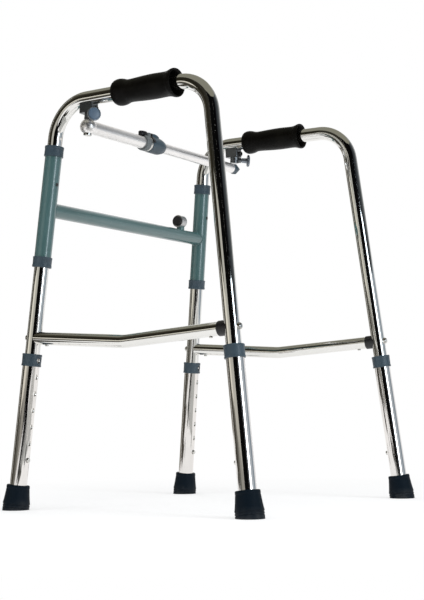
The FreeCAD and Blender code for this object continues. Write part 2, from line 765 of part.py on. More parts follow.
    cap = cell("screw_head") / 2
    dome = cell("screw_dome")
    screws = []
    for end_name, way, spot in taps:
        item = revolved(f"{name}_{end_name}_rail_screw", [
            (ZERO, RAIL - 0.8), (cap, RAIL - 0.8), (cap, RAIL + dome * 0.4),
            (cap * 0.4, RAIL + dome, -dome * 0.15), (ZERO, RAIL + dome)])
        item.Placement = spot
        trim = cylinder(f"{name}_{end_name}_screw_trim", RAIL, 60,
                        way * at(z=screw_at[end_name] - 30))
        core = cylinder(f"{name}_{end_name}_screw_core", screw, 6.5,
                        spot * at(z=RAIL - 6))
        screws.append(fuse(f"{name}_{end_name}_screw_part",
                           cut(f"{name}_{end_name}_screw_seat", item, trim), core))
    node(name + "_rail_screws", together(name + "_rail_screws", *screws), frame)

    # the right leg has the slot for the lock bolt
    if name == "right":
        half_bolt = math.degrees(math.asin(
            (cell("bolt_size").value / 2 + GAP.value) / TUBE.value))
        free = 1.5
        span = cell("right_fold") + 2 * (half_bolt + free)
        tall = cell("bolt_size") + GAP * 2.6
        holes.append(cylinder(
            "right_lock_slot", TUBE + 3, tall,
            FRONT_LEG * at(z=CROSS_AT + TUBE * sine(cell("splay_angle")) - tall / 2,
                           turn=Rotation(180 - TOE - half_bolt - free, 0, 0)),
            angle=span))
    tube = cut(name + "_frame_tube", outside, bore, *holes)
    node(name + "_frame_tube", tube, frame)

    # the hand grip
    begin = cell(name + "_grip_start")
    total = cell("grip_length")
    flange = cell("grip_flange") / 2
    flange_to = cell("grip_flange_length")
    waist = cell("grip_waist") / 2
    belly = cell("grip_belly") / 2
    neck = cell("grip_neck") / 2
    flare = cell("grip_flare") / 2
    flare_from = total - cell("grip_flare_length")
    scoop = cell("grip_scoop")
    soft = as_size(2.5)
    grip = revolved(name + "_grip", [
        (TUBE + SLIP, ZERO), (flange - soft, ZERO), (flange, soft, -as_size(0.7)),
        (flange, flange_to - soft), (flange - soft, flange_to, -as_size(0.7)),
        (waist, flange_to + soft * 3), (belly, total * 0.56, -as_size(0.5)),
        (neck, flare_from - soft), (flare, flare_from + soft * 2),
        (flare, total - soft), (flare - soft, total, -as_size(0.7)),
        (TUBE + SLIP, total - scoop, -as_size(1.2))])
    node(name + "_grip", grip,
         frame * at(y=-begin, z=HANDLE, turn=Rotation(Vector(1, 0, 0), 90)))

    # the bracket under the handle, in the pivot's frame
    pivot = at(y=-PLACE, z=BRACE_HEIGHT, turn=Rotation(0, 0, LEAN.value))
    foot = cell("barrel_foot")
    saddle_foot = cell("saddle_foot")
    pin = cell("pin_size") / 2
    pin_top = cell("pin_top")
    level = Rotation(0, 0, -LEAN.value)
    tall = HANDLE - BRACE_HEIGHT - saddle_foot
    block = rounded(
        name + "_bracket_block",
        box(name + "_bracket_box", cell("saddle_wide"), cell("saddle_long"), tall,
            at(turn=level) * at(z=saddle_foot)),
        cell("saddle_round"),
        lambda edge: abs(edge.tangentAt(edge.FirstParameter).z) > 0.9)
    barrel = cylinder(name + "_barrel", cell("barrel_size") / 2,
                      saddle_foot + 5 - foot, at(z=foot))
    turn = cell("screw_turn").value
    across = Rotation(Vector(0, 0, 1),
                      Vector(-inward * math.sin(math.radians(turn)),
                             -math.cos(math.radians(turn)), 0))
    screw_z = cell("screw_height")
    stem = cell("screw_stem") / 2
    boss = cylinder(name + "_boss", cell("screw_boss") / 2, cell("screw_boss_end"),
                    at(z=screw_z, turn=across))
    seat = swept(name + "_bracket_seat", spine, TUBE, start, 90 + LEAN)
    seat.Placement = pivot.inverse()
    cap_size = cell("cap_size") / 2
    cap_long = cell("cap_length")
    cap_place = pivot.inverse() * at(
        y=-PLACE - cell("saddle_long") / 2,
        z=BRACE_HEIGHT + saddle_foot + 6, turn=Rotation(Vector(1, 0, 0), 90))
    bracket = cut(
        name + "_bracket",
        fuse(name + "_bracket_solid", block, barrel, boss),
        seat,
        cylinder(name + "_pin_bore", pin + SLIP, pin_top - foot + 1.5, at(z=foot - 1)),
        cylinder(name + "_stem_bore", stem + SLIP, cell("screw_boss_end") + 2,
                 at(z=screw_z, turn=across)),
        cylinder(name + "_cap_bore", cap_size / 2, 7, cap_place * at(z=-6.5)))
    node(name + "_bracket", bracket, frame * pivot)
    cap_bolt = revolved(name + "_bracket_bolt", [
        (ZERO, -as_size(6.5)), (cap_size / 2, -as_size(6.5)), (cap_size / 2, ZERO),
        (cap_size, ZERO), (cap_size, cap_long - 0.8), (cap_size - 0.8, cap_long),
        (cap_size * 0.5, cap_long), (cap_size * 0.5, cap_long - 2.4),
        (ZERO, cap_long - 2.4)])
    node(name + "_bracket_bolt", cap_bolt, frame * pivot * cap_place)

    # the pivot pin; the right one ends in its barrel
    if name == "left":
        nut = cell("pin_head") / 2
        low = -(cell("eye_flat") + GAP)
        solid = revolved(name + "_pivot_pin", [
            (ZERO, low - 4), (nut - 1, low - 4), (nut, low - 3), (nut, low),
            (pin, low), (pin, pin_top), (ZERO, pin_top)])
    else:
        solid = revolved(name + "_pivot_pin", [
            (ZERO, foot + 0.4), (pin, foot + 0.4), (pin, pin_top), (ZERO, pin_top)])
    node(name + "_pivot_pin", solid, frame * pivot)

    # the thumb screw
    wheel = cell("wheel_size") / 2
    middle = cell("wheel_place")
    thick = cell("wheel_thickness")
    hub = cell("wheel_hub") / 2
    knob = revolved(name + "_thumb_screw", [
        (ZERO, pin + GAP), (stem, pin + GAP), (stem, cell("screw_boss_end") + 1),
        (hub, cell("screw_boss_end") + 1), (hub, middle - thick / 2),
        (wheel - 0.8, middle - thick / 2), (wheel, middle - thick / 2 + 0.8),
        (wheel, middle + thick / 2 - 0.8), (wheel - 0.8, middle + thick / 2),
        (ZERO, middle + thick / 2)])
    node(name + "_thumb_screw", knob, frame * pivot * at(z=screw_z, turn=across))

    leg(name + "_front_leg", frame * FRONT_LEG)
    leg(name + "_rear_leg", frame * REAR_LEG)


for side_name in ("left", "right"):
    side(side_name)


# ---------------------------------------------------------------- front frame
SLEEVE_BORE = TUBE + cell("sleeve_gap") + 0.2
SLEEVE = cell("leg_tube") / 2
BUSH = cell("bush_size") / 2
BUSH_LONG = cell("bush_length")
LIP = cell("bush_lip")
SLEEVE_LOW = cell("sleeve_bottom") - BUSH_LONG / 2 + LIP
SLEEVE_HIGH = cell("sleeve_top") + BUSH_LONG / 2 - LIP
cross_left = SIDES["left"].multVec(FRONT_LEG.multVec(Vector(0, 0, CROSS_AT.value)))
cross_right = Vector(-cross_left.x, cross_left.y, cross_left.z)
LOCK = at(cell("lock_place"), cross_left.y, cross_left.z)
BOLT = cell("bolt_size") / 2

rivets = []
bushes = []
for side_name in ("left", "right"):
    frame = SIDES[side_name] * FRONT_LEG
    pipe = ring(side_name + "_sleeve_pipe", SLEEVE, SLEEVE_BORE,
                SLEEVE_HIGH - SLEEVE_LOW, at(z=SLEEVE_LOW))
    shank = cell("rivet_shank") / 2
    drills = []
    for where, height, facing in (("rear", cell("rear_rivet"), 1),
                                  ("front", cell("front_rivet"), -1)):
        spot = at(z=height, turn=Rotation(Vector(1, 0, 0), 90 * facing))
        drills.append(cylinder(f"{side_name}_{where}_rivet_hole", shank, SLEEVE * 2,
                               spot))
        head = cell("rivet_head") / 2
        dome = cell("rivet_dome")
        rivet = revolved(f"{side_name}_{where}_rivet", [
            (ZERO, SLEEVE - 0.6), (head, SLEEVE - 0.6), (head, SLEEVE + dome * 0.2),
            (head * 0.35, SLEEVE + dome, -dome * 0.18), (ZERO, SLEEVE + dome)])
        rivet.Placement = spot
        core = cylinder(f"{side_name}_{where}_rivet_core", shank,
                        SLEEVE - SLEEVE_BORE + 0.35, spot * at(z=SLEEVE_BORE + 0.05))
        skin = cylinder(f"{side_name}_{where}_rivet_skin", SLEEVE, 60,
                        at(z=height - 30))
        rivet_part = fuse(
            f"{side_name}_{where}_rivet_part",
            cut(f"{side_name}_{where}_rivet_seat", rivet, skin), core)
        rivet_part.Placement = frame
        rivets.append(rivet_part)
    if side_name == "right":
        window = cylinder("lock_window", BOLT + 0.6, 60)
        window.Placement = frame.inverse() * at(
            cross_right.x - 60, cross_right.y, cross_right.z, ALONG_X)
        drills.append(window)
    node(side_name + "_sleeve", cut(side_name + "_sleeve", pipe, *drills), frame)
    for where, low, flip in (("lower", SLEEVE_LOW - LIP, 0),
                             ("upper", SLEEVE_HIGH + LIP, 180)):
        edge = as_size(1.0)
        bush = revolved(f"{side_name}_{where}_bush", [
            (TUBE + SLIP, ZERO), (BUSH - edge, ZERO), (BUSH, edge),
            (BUSH, BUSH_LONG - edge), (BUSH - edge, BUSH_LONG), (SLEEVE, BUSH_LONG),
            (SLEEVE, LIP), (TUBE + SLIP, LIP)])
        bush.Placement = frame * at(z=low, turn=Rotation(Vector(1, 0, 0), flip))
        bushes.append(bush)
node("sleeve_bushes", together("sleeve_bushes", *bushes))
node("sleeve_rivets", together("sleeve_rivets", *rivets))

# the cross tube, coped to both sleeves, with the lever's window
span = Size(2 * cross_right.x, repr(2 * cross_right.x))
CROSS_PLACE = at(cross_left.x, cross_left.y, cross_left.z, ALONG_X)
bar = ring("cross_bar", CROSS, CROSS_BORE, span)
copes = []
for side_name in ("left", "right"):
    cope = cylinder(side_name + "_cross_cope", SLEEVE, 120)
    cope.Placement = CROSS_PLACE.inverse() * SIDES[side_name] * FRONT_LEG \
        * at(z=CROSS_AT.value - 60)
    copes.append(cope)
LEVER_WIDE = cell("lever_width")
SLOT_WIDE = LEVER_WIDE + 2 * GAP
lever_gap = box("lever_gap_tube", 9, SLOT_WIDE, CROSS)
lever_gap.Placement = CROSS_PLACE.inverse() * LOCK * at(-4.5, -SLOT_WIDE / 2, 4)
node("cross_tube", cut("cross_tube", bar, *copes, lever_gap), CROSS_PLACE)

# the lock post and the silver head over it
PIVOT_UP = cell("lever_pivot")
HEAD_UP = PIVOT_UP + cell("lever_top")
HEAD = cell("head_size") / 2
HEAD_LONG = cell("head_length")
PUSH = cell("push_size") / 2
STEM = as_size(5)
PIN = cell("lever_pin") / 2
TRUNNION = as_size(12)
post_slot = box("post_slot", 9, SLOT_WIDE, 30)
post_slot.Placement = at(-4.5, -SLOT_WIDE / 2, 0)
post = cut(
    "lock_post",
    cylinder("post_round", cell("post_size") / 2, HEAD_UP),
    cylinder("post_tube_cope", CROSS, 60, at(-30, turn=ALONG_X)),
    cylinder("post_head_cope", HEAD, 60, at(-30, z=HEAD_UP, turn=ALONG_X)),
    post_slot,
    cylinder("post_pin_hole", PIN + SLIP, TRUNNION + 0.4,
             at(y=-(TRUNNION + 0.4) / 2, z=PIVOT_UP, turn=ALONG_Y)))
node("lock_post", post, LOCK)

well = cell("push_depth") + cell("push_out")
rounding = cell("head_round")
back = HEAD_LONG / 2
shell = revolved("lock_head_shell", [
    (PUSH + SLIP, ZERO), (HEAD - 0.6, ZERO), (HEAD, as_size(0.6)),
    (HEAD, HEAD_LONG - rounding),
    (HEAD - rounding, HEAD_LONG, -rounding * 0.2071), (ZERO, HEAD_LONG),
    (ZERO, HEAD_LONG - 1.2), (STEM + 1, HEAD_LONG - 1.2), (STEM + 1, well),
    (PUSH + SLIP, well)])
HEAD_PLACE = LOCK * at(-back, z=HEAD_UP, turn=ALONG_X)
head_gap = box("lever_gap_head", 11, SLOT_WIDE, 14)
head_gap.Placement = HEAD_PLACE.inverse() * LOCK * at(-4.5, -SLOT_WIDE / 2,
                                                      HEAD_UP - 14)
node("lock_housing", cut("lock_housing", shell, head_gap), HEAD_PLACE)

# the push button with the stem that takes the lever's top
BALL = cell("lever_ball") / 2
SLOT_LONG = cell("yoke_slot")
out = cell("push_out")
press = revolved("lock_push_solid", [
    (ZERO, -out, ), (PUSH - 2, -out), (PUSH, 1.2 - out, -as_size(0.35)),
    (PUSH, well - out - 1.4), (STEM, well - out - 1.4),
    (STEM, back + SLOT_LONG / 2 + 0.6), (ZERO, back + SLOT_LONG / 2 + 0.6)])
push_slot = box("push_slot", SLOT_LONG, SLOT_WIDE, 12)
push_slot.Placement = HEAD_PLACE.inverse() * LOCK * at(
    -SLOT_LONG / 2, -SLOT_WIDE / 2, HEAD_UP + BALL + GAP - 12)
node("lock_button", cut("lock_button", press, push_slot), HEAD_PLACE)

# the lever, modelled about its pivot
arm = box("lever_arm", cell("lever_sheet"), LEVER_WIDE, HEAD_UP,
          at(z=-PIVOT_UP))
lever = fuse(
    "lock_lever", arm,
    cylinder("lever_low_ball", BALL, LEVER_WIDE,
             at(y=-LEVER_WIDE / 2, z=-PIVOT_UP, turn=ALONG_Y)),
    cylinder("lever_high_ball", BALL, LEVER_WIDE,
             at(y=-LEVER_WIDE / 2, z=HEAD_UP - PIVOT_UP, turn=ALONG_Y)),
    cylinder("lever_trunnion", PIN, TRUNNION,
             at(y=-TRUNNION / 2, turn=ALONG_Y)))
node("lock_lever", lever, LOCK * at(z=PIVOT_UP))

# the bolt in the cross tube, its guide and its spring
YOKE = cell("yoke_size")
YOKE_LONG = cell("yoke_length")
TIP = Size(cross_right.x - LOCK.Base.x, repr(cross_right.x - LOCK.Base.x)) \
    - TUBE + cell("bolt_entry")
GUIDE = cell("guide_place")
GUIDE_LONG = cell("guide_length")
STOP = cell("collar_place")
yoke_slot = box("yoke_slot", SLOT_LONG, SLOT_WIDE, 20, at(z=-10))
rod = revolved("bolt_rod", [
    (ZERO, YOKE_LONG / 2 - 1), (BOLT, YOKE_LONG / 2 - 1), (BOLT, STOP),
    (cell("bolt_collar") / 2, STOP), (cell("bolt_collar") / 2, STOP + 2),
    (BOLT, STOP + 2), (BOLT, TIP - 0.8), (BOLT - 0.8, TIP), (ZERO, TIP)])
rod.Placement = Placement(Vector(), ALONG_X)
bolt = fuse("lock_bolt_solid", box("bolt_yoke", YOKE_LONG, YOKE, YOKE, at(z=-YOKE / 2)),
            rod)
node("lock_bolt", cut("lock_bolt", bolt, yoke_slot), LOCK)
node("lock_guide", ring("lock_guide", CROSS_BORE, BOLT + SLIP, GUIDE_LONG),
     LOCK * at(GUIDE, turn=ALONG_X))

wire = cell("coil_wire") / 2
coil = cell("coil_size") / 2
free_length = STOP - GUIDE - GUIDE_LONG
helix = doc.addObject("Part::Helix", "lock_coil")
bind(helix, "Height", free_length - wire * 2)
bind(helix, "Pitch", (free_length - wire * 2) / cell("coil_turns"))
bind(helix, "Radius", coil)
coil_circle = doc.addObject("Part::Circle", "lock_coil_circle")
bind(coil_circle, "Radius", wire)
coil_circle.Placement = at(coil, turn=Rotation(Vector(1, 0, 0), 90))
doc.recompute()
spring = doc.addObject("Part::Sweep", "lock_spring")
spring.Sections = [coil_circle]
spring.Spine = (helix, ["Edge1"])
spring.Solid = True
spring.Frenet = True
node("lock_spring", spring, LOCK * at(GUIDE + GUIDE_LONG + wire, turn=ALONG_X))


# ---------------------------------------------------------------- the brace
PIVOT = at(y=-PLACE, z=BRACE_HEIGHT, turn=Rotation(0, 0, LEAN.value))
left_pivot = (SIDES["left"] * PIVOT).Base
right_pivot = (SIDES["right"] * PIVOT).Base
BRACE = Placement(left_pivot, Rotation())
LEFT_AXIS = (SIDES["left"] * PIVOT).Rotation
RIGHT_AXIS = (SIDES["right"] * PIVOT).Rotation
SPAN = Size(right_pivot.x - left_pivot.x, repr(right_pivot.x - left_pivot.x))
OUTER = cell("outer_tube") / 2
OUTER_BORE = OUTER - cell("brace_wall")
INNER = cell("inner_tube") / 2
INNER_BORE = INNER - cell("brace_wall")
PIN_R = cell("pin_size") / 2
EYE = cell("eye_size") / 2
FLAT = cell("eye_flat")
NECK = EYE + 1
PLUG = cell("eye_plug")

eye_ball = doc.addObject("Part::MultiCommon", "left_eye_round")
eye_slab = cylinder("left_eye_slab", EYE + 1, FLAT * 2, at(z=-FLAT))
eye_slab.Placement = Placement(Vector(), LEFT_AXIS) * at(z=-FLAT)
eye_ball.Shapes = [ball("left_eye_ball", EYE), eye_slab]
eye = fuse("left_eye_solid", eye_ball,
           cylinder("left_eye_neck", OUTER, NECK, at(turn=ALONG_X)),
           cylinder("left_eye_plug", OUTER_BORE, NECK + PLUG, at(turn=ALONG_X)))
eye_bore = cylinder("left_eye_bore", PIN_R + SLIP, 60)
eye_bore.Placement = Placement(Vector(), LEFT_AXIS) * at(z=-30)
eye_trim = cut("left_eye_trim", cylinder("left_eye_outside", 40, 60),
               cylinder("left_eye_inside", 41, FLAT * 2, at(z=30 - FLAT)))
eye_trim.Placement = Placement(Vector(), LEFT_AXIS) * at(z=-30)
node("brace_left_eye", cut("brace_left_eye", eye, eye_bore, eye_trim), BRACE)

OUTER_END = cell("outer_end")
PAD_AT = cell("pad_place")
PAD_LONG = cell("pad_length")
PAD_WIDE = cell("pad_width")
pipe = ring("brace_outer_pipe", OUTER, OUTER_BORE, OUTER_END - NECK)
node("brace_outer_tube", pipe, BRACE * at(NECK, turn=ALONG_X))

HOUSE_FROM = cell("housing_start")
HOUSE_TO = cell("housing_end")
HOUSE = cell("housing_size") / 2
house_long = HOUSE_TO - HOUSE_FROM
house = revolved("brace_housing_shell", [
    (ZERO, ZERO), (HOUSE - 1.5, ZERO), (HOUSE, as_size(1.5)),
    (HOUSE, house_long - 1.5), (HOUSE - 1.5, house_long), (ZERO, house_long)])
house.Placement = at(HOUSE_FROM, turn=ALONG_X)


def oval(name, length, width, low, high, along):
    """An upright slab with round ends."""
    ends = []
    straight = length - width
    for number, way in ((1, -1), (2, 1)):
        ends.append(cylinder(f"{name}_end_{number}", width / 2, high - low,
                             at(along + straight / 2 * way, z=low)))
    return fuse(name, box(name + "_middle", straight, width, high - low,
                          at(along, z=low)), *ends)


BOSS_WALL = cell("boss_wall")
boss = oval("pad_boss", PAD_LONG + BOSS_WALL * 2, PAD_WIDE + BOSS_WALL * 2, OUTER / 2,
            cell("boss_top"), PAD_AT)
pad_well = oval("pad_well", PAD_LONG + GAP * 2, PAD_WIDE + GAP * 2,
                cell("pad_foot") - cell("pad_travel") - GAP, cell("boss_top") + 1,
                PAD_AT)
window = oval("brace_window", cell("window_length"), cell("window_width"), OUTER, HOUSE + 2,
              cell("window_place"))
tube_hole = cylinder("housing_tube_hole", OUTER, house_long + 40,
                     at(HOUSE_FROM - 20, turn=ALONG_X))
node("brace_lock_housing",
     cut("brace_lock_housing", fuse("housing_solid", house, boss), tube_hole, pad_well,
         window), BRACE)
pad_foot = cell("pad_foot")
pad_top = cell("pad_top")
pad = rounded("brace_button", oval("pad_solid", PAD_LONG, PAD_WIDE, pad_foot, pad_top,
                                   ZERO),
              as_size(1.2),
              lambda edge: min(v.Z for v in edge.Vertexes) > pad_top.value - 0.01)
node("brace_button", pad, BRACE * at(PAD_AT))

FERRULE = cell("ferrule_length")
large = cell("ferrule_large") / 2
small = cell("ferrule_small") / 2
seat = OUTER_END - HOUSE_TO
ferrule = revolved("brace_ferrule", [
    (OUTER, ZERO), (large - 0.8, ZERO), (large, as_size(0.8)),
    (large - 0.5, as_size(4)), (small, FERRULE - 5), (small, FERRULE - 1),
    (small - 1, FERRULE), (INNER + SLIP, FERRULE), (INNER + SLIP, seat),
    (OUTER, seat)])
node("brace_ferrule", ferrule, BRACE * at(HOUSE_TO, turn=ALONG_X))

HEAD_FROM = cell("guide_head_start")
HEAD_THICK = cell("guide_head_length")
rod_long = cell("guide_rod_length")
guide = revolved("brace_guide_rod", [
    (ZERO, ZERO), (OUTER_BORE - SLIP, ZERO), (OUTER_BORE - SLIP, HEAD_THICK),
    (INNER_BORE - SLIP, HEAD_THICK), (INNER_BORE - SLIP, HEAD_THICK + rod_long),
    (ZERO, HEAD_THICK + rod_long)])
node("brace_guide_rod", guide, BRACE * at(HEAD_FROM, turn=ALONG_X))

DIAMOND = cell("diamond_size") / 2
RISE = cell("diamond_height") / 2
RIM = cell("diamond_rim") / 2
INNER_FROM = cell("inner_start")
cone = revolved("right_eye_cone", [
    (PIN_R + SLIP, -RISE), (RIM, -RISE), (DIAMOND, as_size(-0.6)),
    (DIAMOND, as_size(0.6)), (RIM, RISE), (PIN_R + SLIP, RISE)])
cone.Placement = Placement(Vector(), RIGHT_AXIS)
tail = cylinder("right_eye_tail", INNER_BORE, PLUG + DIAMOND,
                at(-PLUG - DIAMOND, turn=ALONG_X))
sock = cylinder("right_eye_sock", cell("sock_size") / 2, DIAMOND,
                at(-DIAMOND, turn=ALONG_X))
right_bore = cylinder("right_eye_bore", PIN_R + SLIP, 60)
right_bore.Placement = Placement(Vector(), RIGHT_AXIS) * at(z=-30)
right_eye = cut("brace_right_eye",
                fuse("right_eye_solid", cone, sock, tail), right_bore)
node("brace_right_eye", right_eye, BRACE * at(SPAN))
inner = ring("brace_inner_pipe", INNER, INNER_BORE, SPAN - DIAMOND - INNER_FROM)
node("brace_inner_tube", inner, BRACE * at(INNER_FROM, turn=ALONG_X))

# ---------------------------------------------------------------- check and write
doc.recompute()
faults = [f"{thing.Label}: {thing.State}" for thing in doc.Objects
          if "Invalid" in thing.State or "Error" in thing.State]
if faults:
    raise RuntimeError("; ".join(faults))
faults = []
for label, feature in NODES.items():
    shape = feature.Shape
    if shape.isNull() or not shape.isValid() or not shape.Solids:
        faults.append(label)
if faults:
    raise RuntimeError("no sound solid: " + ", ".join(faults))

os.makedirs("parts", exist_ok=True)
for label, feature in NODES.items():
    feature.Shape.exportStep(f"parts/{label}.step")
print(len(NODES), "pieces")
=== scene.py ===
# %% [markdown]
# # A folding walking frame
# Two bent side frames in bright chrome turn in the sleeves of a painted front
# frame, and a telescoping brace runs under the hand grips. The metal parts
# come from the CAD frame, already at their true size and place. This script gives
# every part its finish, models the soft and moulded parts, and sets the
# pieces in a plain pale studio.

# %% Load the frame
import json
import math
import bpy
from mathutils import Matrix, Vector


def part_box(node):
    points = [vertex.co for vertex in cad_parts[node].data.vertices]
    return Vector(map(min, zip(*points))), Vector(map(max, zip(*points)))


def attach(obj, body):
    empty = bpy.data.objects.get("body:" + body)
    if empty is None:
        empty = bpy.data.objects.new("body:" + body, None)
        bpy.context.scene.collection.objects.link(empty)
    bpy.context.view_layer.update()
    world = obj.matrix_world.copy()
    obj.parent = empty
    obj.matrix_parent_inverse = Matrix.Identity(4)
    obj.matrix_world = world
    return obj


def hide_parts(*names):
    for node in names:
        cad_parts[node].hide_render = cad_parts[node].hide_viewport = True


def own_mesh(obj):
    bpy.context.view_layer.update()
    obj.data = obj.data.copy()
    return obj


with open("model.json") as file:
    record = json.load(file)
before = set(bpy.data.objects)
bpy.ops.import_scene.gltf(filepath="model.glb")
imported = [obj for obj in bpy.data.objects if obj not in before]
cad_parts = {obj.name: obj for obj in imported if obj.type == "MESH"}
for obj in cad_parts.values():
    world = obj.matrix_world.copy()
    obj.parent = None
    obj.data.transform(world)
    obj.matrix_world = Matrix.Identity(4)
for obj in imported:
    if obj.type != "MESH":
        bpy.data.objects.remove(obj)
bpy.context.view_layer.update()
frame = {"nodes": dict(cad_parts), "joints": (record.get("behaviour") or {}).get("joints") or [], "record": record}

record = frame["record"]
joints = {joint["name"]: joint for joint in frame["joints"]}

# %% [markdown]
# ## Camera
# The frame is seen from behind and to one side, from no higher than a shin, so
# the near legs look long. A camera on the user's left, aimed slightly up and with
# a medium long lens, gives that perspective. Its turn, tilt and roll are set as
# one matrix, so the lens needs no shift.

# %% Camera
scene = bpy.context.scene
EYE = Vector((-2.0327, -1.2654, 0.1486))
TURN, TILT, ROLL = math.radians(-58.10), math.radians(5.03), math.radians(-0.674)
LENS = 81.07


def add_camera():
    data = bpy.data.cameras.new("camera")
    data.sensor_width = 36
    data.lens = LENS
    data.clip_start = 0.05
    camera = bpy.data.objects.new("camera", data)
    scene.collection.objects.link(camera)
    look = Matrix.Rotation(TURN, 4, "Z") @ Matrix.Rotation(math.pi / 2 + TILT, 4, "X")
    camera.matrix_world = Matrix.Translation(EYE) @ look @ Matrix.Rotation(ROLL, 4, "Z")
    scene.camera = camera
    return camera


camera = add_camera()
scene.view_settings.view_transform = "Standard"
print("camera at", [round(value, 3) for value in camera.location])

# %% [markdown]
# ## Writing materials as sums
# Real finishes vary: chrome has faint smears, paint has orange peel, rubber
# gathers dust. Each of these is a little arithmetic on noise. The class below
# wraps a shader socket, so that the arithmetic can be written as plain Python
# and the Math nodes appear by themselves.

# %% Shader helper
class Wire:
    """A socket of a material, or a plain number, with arithmetic on it."""

    def __init__(self, finish, socket):
        self.finish = finish
        self.socket = socket

    def math(self, operation, *others, swap=False):
        values = [self, *others]
        if swap:
            values.reverse()
        return self.finish.node("ShaderNodeMath", {"operation": operation}, *values)

    def __add__(self, other):
        return self.math("ADD", other)

    def __rsub__(self, other):
        return self.math("SUBTRACT", other, swap=True)

    def __mul__(self, other):
        return self.math("MULTIPLY", other)

    __radd__ = __add__
    __rmul__ = __mul__


print("sockets can be added, taken from a number and multiplied")

# %% [markdown]
# ## One shader, many finishes
# Every finish here is one Principled shader with a few nodes in front of it. The
# class below makes any node from its type, its settings and its inputs, so that
# a finish reads as a short recipe. Noise is always read from Object coordinates,
# which stay put on a piece when its body moves.

# %% Finish helper
class Finish:
    """A material built from one Principled shader."""

    def __init__(self, name):
        self.material = bpy.data.materials.new(name)
        self.material.use_nodes = True
        self.tree = self.material.node_tree
        self.shader = self.tree.nodes["Principled BSDF"]

    def node(self, kind, settings=None, *inputs, out=0, **named):
        """A new node: its type, its settings, then the values of its inputs."""
        item = self.tree.nodes.new(kind)
        for key, value in (settings or {}).items():
            setattr(item, key, value)
        for spot, value in list(enumerate(inputs)) + list(named.items()):
            if isinstance(spot, str):
                spot = spot.replace("_", " ")
            self.join(item.inputs[spot], value)
        return Wire(self, item.outputs[out])

    def join(self, target, value):
        if isinstance(value, Wire):
            self.tree.links.new(value.socket, target)
        elif value is not None:
            if isinstance(value, (tuple, list)) and len(target.default_value) == 4:
                value = (*value[:3], 1)
            target.default_value = value

    def place(self):
        return self.node("ShaderNodeTexCoord", None, out=3)

    def height(self):
        return self.node("ShaderNodeSeparateXYZ", None, self.place(), out=2)

    def noise(self, scale, detail=4, rough=0.55, stretch=(1, 1, 1)):
        where = self.node("ShaderNodeMapping", None, self.place(), Scale=stretch)
        return self.node("ShaderNodeTexNoise", None, Vector=where, Scale=scale,
                         Detail=detail, Roughness=rough)

    def mix(self, share, first, second):
        item = self.tree.nodes.new("ShaderNodeMix")
        item.data_type = "RGBA"
        self.join(item.inputs["Factor"], share)
        self.join(item.inputs[6], first)
        self.join(item.inputs[7], second)
        return Wire(self, item.outputs[2])

    def ramp(self, value, low, high):
        """0 below low, 1 above high, and a straight rise between."""
        return self.node("ShaderNodeMapRange", {"clamp": True},
                         value, low, high, 0.0, 1.0)

    def bump(self, height, strength, depth):
        return self.node("ShaderNodeBump", None, Strength=strength, Distance=depth,
                         Height=height)

    def set(self, **values):
        for name, value in values.items():
            self.join(self.shader.inputs[name.replace("_", " ")], value)
        return self.material


print("finish helper ready")

# %% [markdown]
# ## Bright chrome
# The side tubes and rails are nickel-chrome plate. Plate is almost a mirror:
# full metallic, very low roughness and a slightly warm grey. What keeps it from
# looking computed is unevenness, so a broad noise lifts the roughness in smears
# and a very shallow bump lets reflections waver along the tube.

# %% Chrome
def make_chrome(name, tone, gloss):
    finish = Finish(name)
    smear = finish.noise(9, 3, 0.6, (1, 1, 0.35))
    grit = finish.noise(240, 2, 0.5)
    smeared = finish.ramp(smear, 0.48, 0.75) * 0.07
    rough = gloss + smeared + finish.ramp(grit, 0.62, 0.8) * 0.05
    wave = finish.noise(16, 2, 0.4)
    shade = finish.mix(finish.ramp(smear, 0.5, 0.8), tone,
                       [value * 0.93 for value in tone])
    return finish.set(Base_Color=shade, Metallic=1.0, Roughness=rough,
                      Normal=finish.bump(wave, 0.05, 0.002))


chrome = make_chrome("bright_chrome", (0.84, 0.83, 0.80), 0.04)
plated = make_chrome("plated_fittings", (0.66, 0.65, 0.62), 0.15)
print("chrome finishes:", chrome.name, plated.name)

# %% [markdown]
# ## Satin aluminium
# The sliding legs and the brace tubes are drawn aluminium, anodised. The legs
# were polished first and stay nearly a mirror; the brace and the cast fittings
# were etched, so they scatter light, with a roughness of about a third. All have
# fine streaks. The noise is stretched along Z for the legs, and along X for the
# level brace; cast fittings have a grain with no direction.

# %% Satin aluminium
def make_satin(name, tone, rough, stretch, metal=0.92):
    finish = Finish(name)
    grain = finish.noise(420, 3, 0.6, stretch)
    cloud = finish.noise(14, 3, 0.5)
    shade = finish.mix(finish.ramp(cloud, 0.35, 0.75), tone,
                       [value * 0.88 for value in tone])
    return finish.set(Base_Color=shade, Metallic=metal,
                      Roughness=rough + grain * 0.05,
                      Normal=finish.bump(grain, 0.05, 0.0002))


GRAIN_UP, GRAIN_LEVEL, GRAIN_CAST = (1, 1, 0.04), (0.04, 1, 1), (1, 1, 1)
satin_leg = make_satin("satin_leg_tube", (0.88, 0.85, 0.82), 0.045, GRAIN_UP, 1.0)
satin_brace = make_satin("satin_brace_tube", (0.97, 0.945, 0.93), 0.30, GRAIN_LEVEL)
cast_alloy = make_satin("cast_alloy", (0.52, 0.52, 0.52), 0.26, GRAIN_CAST)
dark_alloy = make_satin("dark_cast_alloy", (0.17, 0.18, 0.19), 0.30, GRAIN_CAST)
wheel_rim = make_satin("wheel_rim", (0.30, 0.33, 0.37), 0.34, GRAIN_CAST)
print("satin finishes:", satin_leg.name, satin_brace.name, cast_alloy.name)

# %% [markdown]
# ## Grey-teal paint
# The front frame is sprayed, then baked. Sprayed paint has orange peel, a soft
# unevenness about a millimetre across, under a clear glossy skin. The colour
# drifts a little over the length, and a few specks of dust are caught in it.

